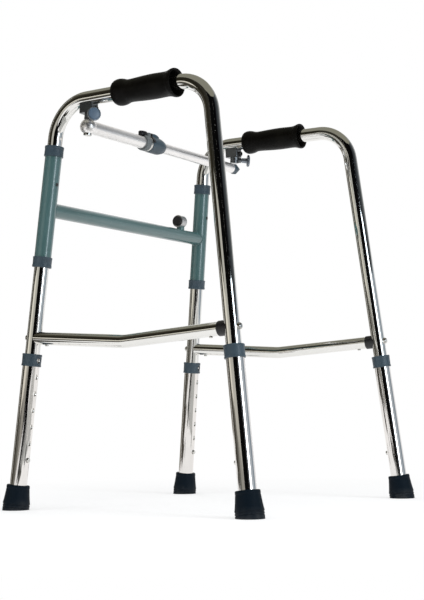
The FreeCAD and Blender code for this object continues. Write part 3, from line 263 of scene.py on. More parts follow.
# %% Paint
def make_paint():
    finish = Finish("grey_teal_paint")
    drift = finish.noise(6, 3, 0.5)
    specks = finish.ramp(finish.noise(700, 1, 0.5), 0.72, 0.76)
    tone = finish.mix(finish.ramp(drift, 0.3, 0.7), (0.042, 0.096, 0.095),
                      (0.054, 0.116, 0.117))
    tone = finish.mix(specks * 0.35, tone, (0.40, 0.50, 0.52))
    peel = finish.noise(900, 2, 0.5)
    return finish.set(Base_Color=tone, Metallic=0.0,
                      Roughness=0.32 + finish.ramp(drift, 0.4, 0.8) * 0.08,
                      Coat_Weight=1.0, Coat_Roughness=0.16,
                      Normal=finish.bump(peel, 0.10, 0.0003))


paint = make_paint()
print("paint:", paint.name)

# %% [markdown]
# ## Moulded plastics and rubber
# Moulded parts take the texture of their mould: a fine spark-eroded grain that
# makes them matte. The plastics share one recipe with other colours. Rubber is
# rougher and darker, and the feet also carry pale dust near the floor, which a
# ramp on height puts there. The vinyl grips have a fine pebbled skin, a little
# shinier where hands have worn it.

# %% Plastics and rubber
def make_plastic(name, tone, rough, grain_size=1600, depth=0.00015):
    finish = Finish(name)
    grain = finish.noise(grain_size, 2, 0.6)
    cloud = finish.noise(30, 3, 0.5)
    shade = finish.mix(finish.ramp(cloud, 0.35, 0.7), tone,
                       [min(value * 1.18 + 0.004, 1) for value in tone])
    return finish.set(Base_Color=shade, Roughness=rough + cloud * 0.10,
                      Normal=finish.bump(grain, 0.35, depth))


def make_rubber(name, tone, dust, shine=0.3):
    finish = Finish(name)
    grain = finish.noise(1100, 3, 0.65)
    patch = finish.noise(55, 4, 0.6)
    low = 1 - finish.ramp(finish.height(), 0.002, 0.020)
    veil = low * finish.ramp(patch, 0.35, 0.8) * dust
    shade = finish.mix(veil, tone, (0.30, 0.29, 0.27))
    return finish.set(Base_Color=shade, Roughness=0.50 + patch * 0.18,
                      Specular_IOR_Level=shine,
                      Normal=finish.bump(grain, 0.4, 0.0002))


def make_vinyl():
    finish = Finish("black_vinyl")
    pebble = finish.node("ShaderNodeTexVoronoi", {"feature": "DISTANCE_TO_EDGE"},
                         Vector=finish.place(), Scale=520.0)
    soft = finish.ramp(pebble, 0.02, 0.35)
    worn = finish.ramp(finish.noise(22, 3, 0.6), 0.5, 0.8)
    shade = finish.mix(worn * 0.5, (0.0022, 0.0018, 0.0013), (0.0080, 0.0070, 0.0045))
    return finish.set(Base_Color=shade, Roughness=0.40 - worn * 0.08,
                      Specular_IOR_Level=0.12,
                      Normal=finish.bump(soft, 0.28, 0.0003))


blue_grey = make_plastic("blue_grey_plastic", (0.028, 0.047, 0.062), 0.36)
wheel_blue = make_plastic("wheel_blue_grey", (0.060, 0.095, 0.140), 0.26)
mid_grey = make_plastic("grey_plastic", (0.085, 0.095, 0.098), 0.36)
black = make_plastic("black_plastic", (0.006, 0.006, 0.007), 0.30)
black_steel = make_plastic("blackened_steel", (0.014, 0.014, 0.014), 0.30, 700)
foot_rubber = make_rubber("black_foot_rubber", (0.002, 0.006, 0.011), 0.12, 0.12)
vinyl = make_vinyl()
print("moulded finishes:", len((blue_grey, wheel_blue, mid_grey, black, black_steel,
                                foot_rubber, vinyl)))

# %% [markdown]
# ## Dressing the frame
# Each CAD node takes the finish of its material slot. The record already says
# which slot a node belongs to, so one small table from slots to finishes dresses
# them all. The brace tubes are satin like the legs, but lie along X, so they
# take the grain that runs that way. A few small pieces then get their own finish.

# %% Dress the CAD nodes
FINISHES = {
    "chrome_tube": chrome,
    "chrome_fittings": plated,
    "satin_aluminium": satin_leg,
    "satin_alloy": cast_alloy,
    "teal_paint": paint,
    "blue_grey_plastic": blue_grey,
    "grey_plastic": mid_grey,
    "black_plastic": black,
    "black_vinyl": vinyl,
    "black_rubber": foot_rubber,
    "black_steel": black_steel,
    "spring_steel": plated,
}
slot_of = {part["node"]: part["material_slot"] for part in record["subparts"]}


def dress(thing, material):
    if not thing.data.materials:
        thing.data.materials.append(material)
    for slot in thing.material_slots:
        slot.material = material


for name, thing in frame["nodes"].items():
    dress(thing, FINISHES[slot_of[name]])
for name in ("brace_outer_tube", "brace_inner_tube"):
    dress(frame["nodes"][name], satin_brace)
dress(frame["nodes"]["sleeve_rivets"], black_steel)
dress(frame["nodes"]["brace_left_eye"], satin_brace)
for name in ("left_bracket", "right_bracket"):
    dress(frame["nodes"][name], dark_alloy)
print("dressed", len(frame["nodes"]), "nodes")

# %% [markdown]
# ## Where things are
# Every leg has its own slanted axis. The slide joint of a leg points down along
# it and its button joint points across it, so these two directions and the
# middle of the foot's sole give a leg's own upright frame. A piece is modelled
# standing at the world origin and then moved there, with the move applied to
# its mesh.

# %% Places
FRONT_LEAN = math.radians(6)


def upright(up, across, origin):
    """A matrix whose Z is up and whose Y is as near to across as it can be."""
    z = Vector(up).normalized()
    x = Vector(across).cross(z).normalized()
    y = z.cross(x)
    matrix = Matrix((x, y, z)).transposed().to_4x4()
    matrix.translation = Vector(origin)
    return matrix


LEGS = {}
for mount in record["mounts"]:
    leg = mount["name"].replace("_floor", "_leg")
    down = Vector(joints[leg + "_slide"]["axis"])
    across = Vector(joints[leg + "_button_press"]["axis"])
    LEGS[leg] = upright(-down, across, mount["pos_m"])
SIDE = {side: LEGS[side + "_front_leg"] @ Matrix.Rotation(-FRONT_LEAN, 4, "X")
        for side in ("left", "right")}
for leg, matrix in LEGS.items():
    print(leg, "stands at", [round(value, 3) for value in matrix.translation])

# %% [markdown]
# ## Turning a profile
# Grips, feet, wheels and rings are all round, so all start the same way: one
# point is extruded along the profile, as a lathe tool would follow it, and then
# spun about Z. The joined seam is merged, the faces are turned outwards, and
# edges that are meant to be crisp stay crisp by smoothing by angle.

# %% Lathe
def clear_selection():
    if bpy.context.object and bpy.context.object.mode != "OBJECT":
        bpy.ops.object.mode_set(mode="OBJECT")
    bpy.ops.object.select_all(action="DESELECT")


def take(piece):
    """Make a piece the only one that is selected, and the active one."""
    clear_selection()
    piece.select_set(True)
    bpy.context.view_layer.objects.active = piece


def apply_place():
    bpy.ops.object.transform_apply(location=True, rotation=True, scale=True)


def turned(name, profile, steps=64, closed=True):
    """A turned piece from (radius, height) points in metres."""
    clear_selection()
    bpy.ops.mesh.primitive_plane_add(size=0.001, location=(0, 0, 0))
    piece = bpy.context.object
    piece.name = name
    bpy.ops.object.mode_set(mode="EDIT")
    bpy.ops.mesh.select_all(action="SELECT")
    bpy.ops.mesh.merge(type="CENTER")
    last = Vector((0, 0, 0))
    points = profile + profile[:1] if closed else profile
    for index, (radius, height) in enumerate(points):
        spot = Vector((radius, 0, height))
        if index == 0:
            bpy.ops.transform.translate(value=spot)
        else:
            bpy.ops.mesh.extrude_region_move(
                TRANSFORM_OT_translate={"value": spot - last})
        last = spot
    bpy.ops.mesh.select_all(action="SELECT")
    bpy.ops.mesh.spin(steps=steps, angle=2 * math.pi, center=(0, 0, 0),
                      axis=(0, 0, 1))
    bpy.ops.mesh.select_all(action="SELECT")
    bpy.ops.mesh.remove_doubles(threshold=0.00001)
    bpy.ops.mesh.normals_make_consistent(inside=False)
    bpy.ops.object.mode_set(mode="OBJECT")
    bpy.ops.object.shade_smooth_by_angle(angle=math.radians(34))
    return piece


def settle(piece, matrix, material, body, slot, *nodes):
    """Put a finished piece in its place and tie it to its body."""
    take(piece)
    piece.matrix_world = matrix @ piece.matrix_world
    apply_place()
    dress(piece, material)
    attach(piece, body)
    if nodes:
        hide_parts(*nodes)
    return piece


def rounded(profile, index, radius, count=4):
    """The points of a profile with the corner at index rounded off."""
    before, corner, after = (Vector(spot) for spot in profile[index - 1:index + 2])
    one = (before - corner).normalized() * radius
    two = (after - corner).normalized() * radius
    points = []
    for step in range(count + 1):
        share = step / count
        points.append(tuple(corner + one * (1 - share) ** 2 + two * share ** 2))
    return points


def softened(profile, radii):
    """Round the corners whose numbers are given, each by its own radius."""
    points = []
    for index, point in enumerate(profile):
        if index in radii:
            points += rounded(profile, index, radii[index])
        else:
            points.append(point)
    return points


print("profile tools ready")

# %% [markdown]
# ## Picking, cutting and uniting
# Three more habits of the workshop come back below. Vertices are picked by their
# place, which stays true when a profile changes. A closed piece is cut along a
# plane and filled again. Two pieces are united, or one is drilled out of the
# other, by a Boolean that is applied at once.

# %% Workshop helpers
STILL = Matrix.Identity(4)


def select_where(piece, test):
    """Leave only the vertices that pass the test selected, in edit mode."""
    bpy.ops.object.mode_set(mode="EDIT")
    bpy.ops.mesh.select_mode(type="VERT")
    bpy.ops.mesh.select_all(action="DESELECT")
    bpy.ops.object.mode_set(mode="OBJECT")
    for vertex in piece.data.vertices:
        vertex.select = test(vertex.co)
    bpy.ops.object.mode_set(mode="EDIT")


def cut_above(piece, spot, normal):
    """Cut a closed piece along a plane and keep what lies behind it."""
    take(piece)
    bpy.ops.object.mode_set(mode="EDIT")
    bpy.ops.mesh.select_all(action="SELECT")
    bpy.ops.mesh.bisect(plane_co=spot, plane_no=normal, use_fill=True,
                        clear_outer=True)
    bpy.ops.mesh.select_all(action="SELECT")
    bpy.ops.mesh.normals_make_consistent(inside=False)
    bpy.ops.object.mode_set(mode="OBJECT")


def combine(piece, tool, operation):
    """Unite a piece with a tool, or cut the tool out of it; the tool goes."""
    take(piece)
    step = piece.modifiers.new("step", "BOOLEAN")
    step.operation = operation
    step.solver = "EXACT"
    step.object = tool
    bpy.ops.object.modifier_apply(modifier="step")
    bpy.data.objects.remove(tool)


def smooth(degrees):
    bpy.ops.object.shade_smooth_by_angle(angle=math.radians(degrees))


print("workshop helpers ready")

# %% [markdown]
# ## Hand grips
# A vinyl grip is dipped or moulded as one soft tube: a fat bead at the front
# stops the hand, the middle swells to fill the palm, and the rear flares into a
# cup round the tube. Its edges are all soft. It is turned in one go, and two
# faint mould lines run along its sides, where the halves of the mould met.

# %% Hand grips
GRIP_LENGTH = 0.124
TUBE_RADIUS = 0.0127
GRIP_PROFILE = [
    (TUBE_RADIUS + 0.0001, 0.0006), (0.0172, 0.0000), (0.0204, 0.0018),
    (0.0222, 0.0060), (0.0227, 0.0110), (0.0222, 0.0165), (0.0206, 0.0215),
    (0.0192, 0.0260), (0.0190, 0.0310), (0.0195, 0.0420), (0.0203, 0.0550),
    (0.0209, 0.0700), (0.0210, 0.0830), (0.0206, 0.0950), (0.0203, 0.1030),
    (0.0208, 0.1095), (0.0222, 0.1145), (0.0237, 0.1185), (0.0240, 0.1215),
    (0.0234, 0.1238), (0.0220, 0.1240), (0.0202, 0.1218), (0.0180, 0.1170),
    (0.0158, 0.1120), (0.0138, 0.1090), (TUBE_RADIUS + 0.0001, 0.1088)]


MOULD_LINE_WIDTH, MOULD_LINE_RISE = 0.0004, 1.014
MOULD_LINE_START, MOULD_LINE_END = 0.004, 0.120


def make_grip(side):
    node = side + "_grip"
    low, high = (Vector(corner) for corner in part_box(node))
    piece = turned(node + "_vinyl", GRIP_PROFILE, 72)

    def on_mould_line(spot):
        outside = math.hypot(spot.x, spot.y) > TUBE_RADIUS + 0.004
        along = MOULD_LINE_START < spot.z < MOULD_LINE_END
        return outside and abs(spot.y) < MOULD_LINE_WIDTH and along

    select_where(piece, on_mould_line)
    bpy.ops.transform.resize(value=(MOULD_LINE_RISE, 1, 1), center_override=(0, 0, 0))
    bpy.ops.object.mode_set(mode="OBJECT")
    soft = piece.modifiers.new("soft", "SUBSURF")
    soft.levels = soft.render_levels = 1
    bpy.ops.object.modifier_apply(modifier="soft")
    smooth(50)
    back = SIDE[side].to_3x3() @ Vector((0, -1, 0))
    up = SIDE[side].to_3x3() @ Vector((0, 0, 1))
    middle = (low + high) / 2
    matrix = upright(back, up, middle - back * GRIP_LENGTH / 2)
    settle(piece, matrix, vinyl, side + "_side", "black_vinyl", node)
    print(piece.name, len(piece.data.polygons), "faces")


for side in ("left", "right"):
    make_grip(side)

# %% [markdown]
# ## Rubber feet
# A ferrule tip is a thick rubber boot: a rounded lip at the top, a wall that
# flares outwards and a straight band that grips the floor, with two shallow
# grooves round it. The leg is slanted but the floor is level, so the boot is
# turned a little too long, moved to its slanted place, and cut off flat.

# %% Rubber feet
LEG_RADIUS = 0.0145
FOOT_PROFILE = softened([
    (0.0, 0.008), (LEG_RADIUS + 0.00005, 0.008), (LEG_RADIUS + 0.00005, 0.0420),
    (0.0192, 0.0420), (0.0197, 0.0375), (0.0193, 0.0362), (0.0196, 0.0345),
    (0.0208, 0.0240), (0.0222, 0.0142), (0.0226, 0.0126), (0.0226, 0.0102),
    (0.0219, 0.0096), (0.0219, 0.0088), (0.0226, 0.0082), (0.0226, 0.0060),
    (0.0219, 0.0054), (0.0219, 0.0046), (0.0226, 0.0040), (0.0226, -0.008),
    (0.0, -0.008)], {3: 0.0014, 4: 0.0008, 8: 0.003})


def make_foot(leg):
    piece = turned(leg + "_rubber_foot", FOOT_PROFILE, 64, closed=False)
    take(piece)
    piece.matrix_world = LEGS[leg] @ piece.matrix_world
    apply_place()
    cut_above(piece, (0, 0, 0), (0, 0, -1))
    smooth(38)
    settle(piece, STILL, foot_rubber, leg, "black_rubber", leg + "_foot")
    print(piece.name, "sole at", round(min(v.co.z for v in piece.data.vertices), 5))


for leg in LEGS:
    make_foot(leg)

# %% [markdown]
# ## Thumb wheels
# A thumb wheel is turned by two fingers, so its rim is fluted. The wheel is
# turned smooth, with its stem and hub, and then every fourth line of its rim is
# drawn in, which leaves rounded flutes all the way round. A plastic cap lies on
# its outer face.

# %% Thumb wheels
WHEEL_STEPS = 72
STEM_START, HUB_START, WHEEL_START, WHEEL_END = 0.0043, 0.0140, 0.02475, 0.02925
WHEEL_PROFILE = softened([
    (0.0, STEM_START), (0.0030, STEM_START), (0.0030, HUB_START), (0.0045, HUB_START),
    (0.0052, WHEEL_START), (0.0098, WHEEL_START), (0.0118, WHEEL_START + 0.0010),
    (0.0118, WHEEL_END - 0.0010), (0.0110, WHEEL_END), (0.0105, WHEEL_END),
    (0.0102, WHEEL_END - 0.0006), (0.0, WHEEL_END - 0.0006)],
    {6: 0.0006, 7: 0.0006, 8: 0.0005})
CAP_PROFILE = softened([
    (0.0, WHEEL_END - 0.0007), (0.0100, WHEEL_END - 0.0007),
    (0.0100, WHEEL_END + 0.0002), (0.0090, WHEEL_END + 0.0009),
    (0.0, WHEEL_END + 0.0014)], {2: 0.0004, 3: 0.0006})
FLUTE_LINES, FLUTE_DEPTH = 4, 0.93
SCREW_BEHIND_JOINT = 0.020


def make_wheel(side):
    node = side + "_thumb_screw"
    joint = joints[node + "_turn"]
    out = Vector(joint["axis"]).normalized()
    piece = turned(node + "_wheel", WHEEL_PROFILE, WHEEL_STEPS, closed=False)

    def flute(spot):
        radius = math.hypot(spot.x, spot.y)
        turn = round(math.atan2(spot.y, spot.x) / (2 * math.pi) * WHEEL_STEPS)
        return radius > 0.0112 and turn % FLUTE_LINES == 0

    select_where(piece, flute)
    bpy.ops.transform.resize(value=(FLUTE_DEPTH, FLUTE_DEPTH, 1),
                             center_override=(0, 0, 0))
    bpy.ops.object.mode_set(mode="OBJECT")
    smooth(28)
    start = Vector(joint["pos_m"]) - out * SCREW_BEHIND_JOINT
    place = upright(out, (0, 0, 1), start)
    settle(piece, place, wheel_rim, node, "chrome_fittings", node)
    cap = turned(node + "_cap", CAP_PROFILE, 64, closed=False)
    settle(cap, place, wheel_blue, node, "blue_grey_plastic")
    print(piece.name, len(piece.data.polygons), "faces")


for side in ("left", "right"):
    make_wheel(side)

# %% [markdown]
# ## The brace lock
# Where the thin tube slides into the thick one, a moulded housing holds the lock
# button. A bright ring and a tapered ferrule close its end. Housing, ring and
# ferrule are turned about the brace. The rest is oval blocks with bevelled
# edges: a collar united with the housing, the button and the pocket cut for it, a
# spine whose top slopes down over the ferrule, and the black release key that
# rides across the ferrule's thick end.

# %% Brace lock
outer_low, outer_high = (Vector(corner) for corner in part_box("brace_outer_tube"))
BRACE_Y = (outer_low.y + outer_high.y) / 2
BRACE_Z = (outer_low.z + outer_high.z) / 2
ALONG_BRACE = upright((1, 0, 0), (0, 0, 1), (0, BRACE_Y, BRACE_Z))
OUTER_RADIUS, INNER_RADIUS = 0.0111, 0.0095
HOUSING_START, RING_START = -0.0810, -0.0690
FERRULE_START, FERRULE_END = -0.0625, -0.0190
THICK_TUBE_END, BORE_STEP = -0.0316, -0.0302
BUTTON_X, KEY_X = -0.0770, -0.0600
HOUSING_PROFILE = softened([
    (OUTER_RADIUS + 0.0001, HOUSING_START), (0.0132, HOUSING_START),
    (0.0142, HOUSING_START + 0.0030), (0.0142, RING_START),
    (OUTER_RADIUS + 0.0001, RING_START)], {1: 0.0006, 2: 0.0010})
RING_PROFILE = softened([
    (OUTER_RADIUS + 0.0001, RING_START), (0.0136, RING_START),
    (0.0143, (RING_START + FERRULE_START) / 2), (0.0136, FERRULE_START),
    (OUTER_RADIUS + 0.0001, FERRULE_START)], {2: 0.0018})
FERRULE_PROFILE = softened([
    (OUTER_RADIUS + 0.0001, FERRULE_START), (0.0141, FERRULE_START),
    (0.0147, FERRULE_START + 0.0020), (0.0148, FERRULE_END - 0.0120),
    (0.0114, FERRULE_END), (INNER_RADIUS + 0.0002, FERRULE_END),
    (INNER_RADIUS + 0.0002, BORE_STEP), (OUTER_RADIUS + 0.0001, THICK_TUBE_END)],
    {2: 0.0008, 3: 0.0040, 4: 0.0007})
KEY_PROFILE = [(0.0139, KEY_X - 0.0030), (0.0152, KEY_X - 0.0030),
               (0.0152, KEY_X + 0.0030), (0.0139, KEY_X + 0.0030)]
KEY_BOTTOM = 0.0010

# each oval block: its middle along the brace, half its length and width, its
# bottom and top above the brace's middle, and the bevel of its top edge
COLLAR_BLOCK = (-0.0655, 0.0060, 0.0084, 0.0113, 0.0190, 0.0012)
POCKET_BLOCK = (BUTTON_X, 0.0112, 0.0066, 0.0105, 0.0220, 0)
SPINE_BLOCK = (-0.0450, 0.0160, 0.0078, 0.0115, 0.0192, 0.0012)
KEY_BLOCK = (KEY_X, 0.0029, 0.0092, 0.0105, 0.0184, 0.0006)
BUTTON_BLOCK = (BUTTON_X, 0.0109, 0.0063, 0.0132, 0.0204, 0.0020)
SPINE_SLOPE, SLOPE_X, SLOPE_HEIGHT = 0.23, -0.0500, 0.0190


def oval_block(name, x, half_length, half_width, low, high, edge):
    """An upright oval block on the brace, low and high above its middle."""
    clear_selection()
    bpy.ops.mesh.primitive_cylinder_add(
        vertices=64, radius=1, depth=1,
        location=(x, BRACE_Y, BRACE_Z + (low + high) / 2),
        scale=(half_length, half_width, high - low))
    block = bpy.context.object
    block.name = name
    apply_place()
    if edge:
        top = BRACE_Z + high
        select_where(block, lambda spot: spot.z > top - 0.00001)
        bpy.ops.mesh.bevel(offset=edge, segments=4, affect="EDGES")
        bpy.ops.object.mode_set(mode="OBJECT")
    smooth(30)
    return block


def on_brace(name, profile):
    """A piece turned about the brace, standing in its place."""
    piece = turned(name, profile, 64)
    piece.matrix_world = ALONG_BRACE
    apply_place()
    return piece


def make_brace_lock():
    housing = on_brace("brace_housing_shell", HOUSING_PROFILE)
    combine(housing, oval_block("collar", *COLLAR_BLOCK), "UNION")
    combine(housing, oval_block("pocket", *POCKET_BLOCK), "DIFFERENCE")
    smooth(30)
    settle(housing, STILL, mid_grey, "brace_outer", "grey_plastic",
           "brace_lock_housing")
    ring = on_brace("brace_bright_ring", RING_PROFILE)
    settle(ring, STILL, plated, "brace_outer", "chrome_fittings")
    ferrule = on_brace("brace_tapered_ferrule", FERRULE_PROFILE)
    spine = oval_block("spine", *SPINE_BLOCK)
    cut_above(spine, (SLOPE_X, BRACE_Y, BRACE_Z + SLOPE_HEIGHT), (SPINE_SLOPE, 0, 1))
    combine(ferrule, spine, "UNION")
    smooth(30)
    settle(ferrule, STILL, blue_grey, "brace_outer", "blue_grey_plastic",
           "brace_ferrule")
    key = on_brace("brace_release_key", KEY_PROFILE)
    cut_above(key, (KEY_X, BRACE_Y, BRACE_Z + KEY_BOTTOM), (0, 0, -1))
    combine(key, oval_block("key_top", *KEY_BLOCK), "UNION")
    smooth(30)
    settle(key, STILL, black, "brace_outer", "black_plastic")
    button = oval_block("brace_lock_button", *BUTTON_BLOCK)
    settle(button, STILL, black, "brace_button", "black_plastic", "brace_button")
    return housing, ring, ferrule, key, button


for piece in make_brace_lock():
    print(piece.name, len(piece.data.polygons), "faces")

# %% [markdown]
# ## Leg collars
# A collar closes the gap between the sliding leg and the side tube. It is a
# moulded ring with a rounded top, a thin bead at its skirt, and a round window
# through which the top height hole shows. The window is drilled with a Boolean,
# as a drill would do it.

# %% Leg collars
COLLAR_LOW, COLLAR_HIGH, COLLAR_LIP = 0.2425, 0.2635, 0.0030
COLLAR_RADIUS = 0.0167
COLLAR_PROFILE = softened([
    (LEG_RADIUS + 0.00003, COLLAR_LOW), (COLLAR_RADIUS, COLLAR_LOW),
    (COLLAR_RADIUS, COLLAR_LOW + 0.0030),
    (COLLAR_RADIUS - 0.0005, COLLAR_LOW + 0.0034),
    (COLLAR_RADIUS - 0.0003, COLLAR_HIGH - 0.0036),
    (COLLAR_RADIUS, COLLAR_HIGH - 0.0032),
    (COLLAR_RADIUS, COLLAR_HIGH), (TUBE_RADIUS + 0.00006, COLLAR_HIGH),
    (TUBE_RADIUS + 0.00006, COLLAR_HIGH - COLLAR_LIP),
    (LEG_RADIUS + 0.00003, COLLAR_HIGH - COLLAR_LIP)],
    {1: 0.0006, 6: 0.0012})
TOP_HOLE, WINDOW_RADIUS = 0.253, 0.0043
DRILL_LENGTH, DRILL_Y = 0.020, -0.0150


def make_collar(leg):
    piece = turned(leg + "_moulded_collar", COLLAR_PROFILE, 64)
    clear_selection()
    bpy.ops.mesh.primitive_cylinder_add(
        vertices=32, radius=WINDOW_RADIUS, depth=DRILL_LENGTH,
        location=(0, DRILL_Y, TOP_HOLE), rotation=(math.pi / 2, 0, 0))
    combine(piece, bpy.context.object, "DIFFERENCE")
    smooth(34)
    settle(piece, LEGS[leg], blue_grey, leg, "blue_grey_plastic", leg + "_collar")
    return piece


for leg in LEGS:
    print(make_collar(leg).name)

# %% [markdown]
# ## Sleeve bushes
# The side tubes turn in the front frame's sleeves on four moulded bushes. Each
# has a skirt over the sleeve's end and a rounded shoulder. One bush is turned,
# copied to the four sleeve ends, and the four are joined, because the frame
# counts them as one set of like parts.

# %% Sleeve bushes
SLEEVE_RADIUS, BUSH_RADIUS, BUSH_LENGTH, BUSH_LIP = 0.0145, 0.0165, 0.018, 0.006
BUSH_PROFILE = softened([
    (TUBE_RADIUS + 0.00006, 0.0), (BUSH_RADIUS, 0.0),
    (BUSH_RADIUS, 0.0042), (BUSH_RADIUS - 0.0004, 0.0046),
    (BUSH_RADIUS - 0.0002, BUSH_LENGTH - 0.0026),
    (BUSH_RADIUS, BUSH_LENGTH - 0.0022),
    (BUSH_RADIUS, BUSH_LENGTH), (SLEEVE_RADIUS + 0.00003, BUSH_LENGTH),
    (SLEEVE_RADIUS + 0.00003, BUSH_LIP), (TUBE_RADIUS + 0.00006, BUSH_LIP)],
    {1: 0.0014, 6: 0.0006})
BUSH_LOW, BUSH_HIGH = 0.411, 0.620


def make_bushes():
    rings = []
    for side in ("left", "right"):
        leg = LEGS[side + "_front_leg"]
        for height, flip in ((BUSH_LOW, 0), (BUSH_HIGH, math.pi)):
            ring = turned("sleeve_bush_ring", BUSH_PROFILE, 64)
            lift = Matrix.Translation((0, 0, height))
            ring.matrix_world = leg @ lift @ Matrix.Rotation(flip, 4, "X")
            rings.append(ring)
    clear_selection()
    for ring in rings:
        ring.select_set(True)
    bpy.context.view_layer.objects.active = rings[0]
    apply_place()
    bpy.ops.object.join()
    piece = bpy.context.object
    piece.name = "sleeve_bush_rings"
    return settle(piece, STILL, blue_grey, "front_frame", "blue_grey_plastic",
                  "sleeve_bushes")


print(make_bushes().name)

# %% [markdown]
# ## Weld beads
# The cross tube is welded to both sleeves. A weld follows the saddle line where
# two round tubes meet, and it is rippled, because the wire is fed in small
# pulses. Points round the cross tube are slid along it until they meet the
# sleeve's surface, by halving the step each time, and a curve through them with a
# varying thickness makes the bead.

# %% Weld beads
CROSS_RADIUS, SLEEVE_X = 0.0127, 0.2405
BEAD_POINTS, BEAD_RADIUS, BEAD_OFFSET = 96, 0.0014, 0.0003
RIPPLE, RIPPLE_POINTS = 0.16, 4
HALVINGS = 40


def make_weld(side):
    low, high = (Vector(corner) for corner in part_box("cross_tube"))
    centre_y, centre_z = (low.y + high.y) / 2, (low.z + high.z) / 2
    leg = LEGS[side + "_front_leg"]
    base = leg.translation
    up = (leg.to_3x3() @ Vector((0, 0, 1))).normalized()
    inward = 1 if side == "left" else -1
    points = []
    for index in range(BEAD_POINTS):
        angle = 2 * math.pi * index / BEAD_POINTS
        spot = Vector((0, centre_y + CROSS_RADIUS * math.cos(angle),
                       centre_z + CROSS_RADIUS * math.sin(angle)))
        outside, inside = 0.0, -inward * SLEEVE_X
        for _ in range(HALVINGS):
            middle = (outside + inside) / 2
            probe = Vector((middle, spot.y, spot.z)) - base
            away = (probe - up * probe.dot(up)).length
            if away > SLEEVE_RADIUS:
                outside = middle
            else:
                inside = middle
        points.append(Vector((outside + inward * BEAD_OFFSET, spot.y, spot.z)))
    curve = bpy.data.curves.new(side + "_weld", "CURVE")
    curve.dimensions = "3D"
    curve.bevel_depth = BEAD_RADIUS
    curve.bevel_resolution = 4
    line = curve.splines.new("POLY")
    line.points.add(BEAD_POINTS - 1)
    line.use_cyclic_u = True
    for index, point in enumerate(points):
        wave = math.sin(index * 2 * math.pi / RIPPLE_POINTS)
        line.points[index].co = (*point, 1)
        line.points[index].radius = 1.0 + RIPPLE * wave
    holder = bpy.data.objects.new(side + "_weld_bead", curve)
    scene.collection.objects.link(holder)
    take(holder)
    bpy.ops.object.convert(target="MESH")
    piece = bpy.context.object
    smooth(60)
    return settle(piece, STILL, paint, "front_frame", "teal_paint")


for side in ("left", "right"):
    print(make_weld(side).name)

# %% [markdown]
# ## Springs
# The leg buttons and the lock bolt work against springs: a bent strip inside
# each leg, and a coil round the bolt. A spring gives way as its button goes in.
# Each spring is copied as a piece of its own and tied to its body, and the share
# of its length left after the travel and a little play is worked out, but the
# piece is not squashed.

# %% Springs
LEG_BUTTON_TRAVEL, BOLT_TRAVEL, SPRING_PLAY = 0.0050, 0.0056, 0.0001


def make_spring(node, body, joint, travel):
    source = frame["nodes"][node]
    piece = bpy.data.objects.new(node + "_soft", source.data.copy())
    scene.collection.objects.link(piece)
    piece.matrix_world = source.matrix_world
    settle(piece, STILL, plated, body, "spring_steel", node)
    axis = Vector(joints[joint]["axis"])
    spots = sorted((vertex.co.dot(axis), *vertex.co)
                   for vertex in piece.data.vertices)
    length = spots[-1][0] - spots[0][0]
    left_over = 1 - (travel + SPRING_PLAY) / length
    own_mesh(piece)
    return piece


springs = [make_spring(leg + "_spring", leg.split("_")[0] + "_side",
                       leg + "_button_press", LEG_BUTTON_TRAVEL) for leg in LEGS]
springs.append(make_spring("lock_spring", "front_frame", "lock_bolt_slide",
                           BOLT_TRAVEL))
print("soft springs:", len(springs))

# %% [markdown]
# ## Stage
# The object stands on a plain pale floor that runs out of sight. The world is
# white where the camera, a reflection or a ray through glass sees it, and gives
# soft light of half that strength to everything else. Round the object the floor
# shows its own colour and keeps the shadow; further out it fades to pure white,
# so no horizon shows.

# %% Floor and world
NEAR_WHITE, FADE_REACH, WORLD_LIGHT = 0.55, (0.30, 1.10), 0.50
FLOOR_SIZE, FLOOR_Z = 60, -0.0005


def seen_directly(nodes, links):
    """A socket that is 1 for rays from the lens, from gloss and through glass."""
    path = nodes.new("ShaderNodeLightPath")
    value = path.outputs["Is Camera Ray"]
    for kind in ("Is Glossy Ray", "Is Transmission Ray"):
        either = nodes.new("ShaderNodeMath")
        either.operation = "MAXIMUM"
        links.new(value, either.inputs[0])
        links.new(path.outputs[kind], either.inputs[1])
        value = either.outputs[0]
    return value


def add_floor():
    """A pale floor that turns pure white away from the object."""
    clear_selection()
    bpy.ops.mesh.primitive_plane_add(size=FLOOR_SIZE, location=(0, 0, FLOOR_Z))
    bpy.ops.object.transform_apply(location=True)
    floor = bpy.context.object
    floor.name = "floor"
    finish = Finish("studio_floor")
    nodes, links = finish.tree.nodes, finish.tree.links
    finish.set(Base_Color=(0.93, 0.93, 0.93), Roughness=0.9, Specular_IOR_Level=0.0)
    reach = finish.node("ShaderNodeVectorMath", {"operation": "LENGTH"},
                        finish.place(), out=1)
    fade = NEAR_WHITE + finish.ramp(reach, *FADE_REACH) * (1 - NEAR_WHITE)
    share = fade * Wire(finish, seen_directly(nodes, links))
    glow = nodes.new("ShaderNodeEmission")
    glow.inputs["Color"].default_value = (1, 1, 1, 1)
    mix = nodes.new("ShaderNodeMixShader")
    finish.join(mix.inputs[0], share)
    links.new(finish.shader.outputs[0], mix.inputs[1])
    links.new(glow.outputs[0], mix.inputs[2])
    links.new(mix.outputs[0], nodes["Material Output"].inputs["Surface"])
    dress(floor, finish.material)
    return floor


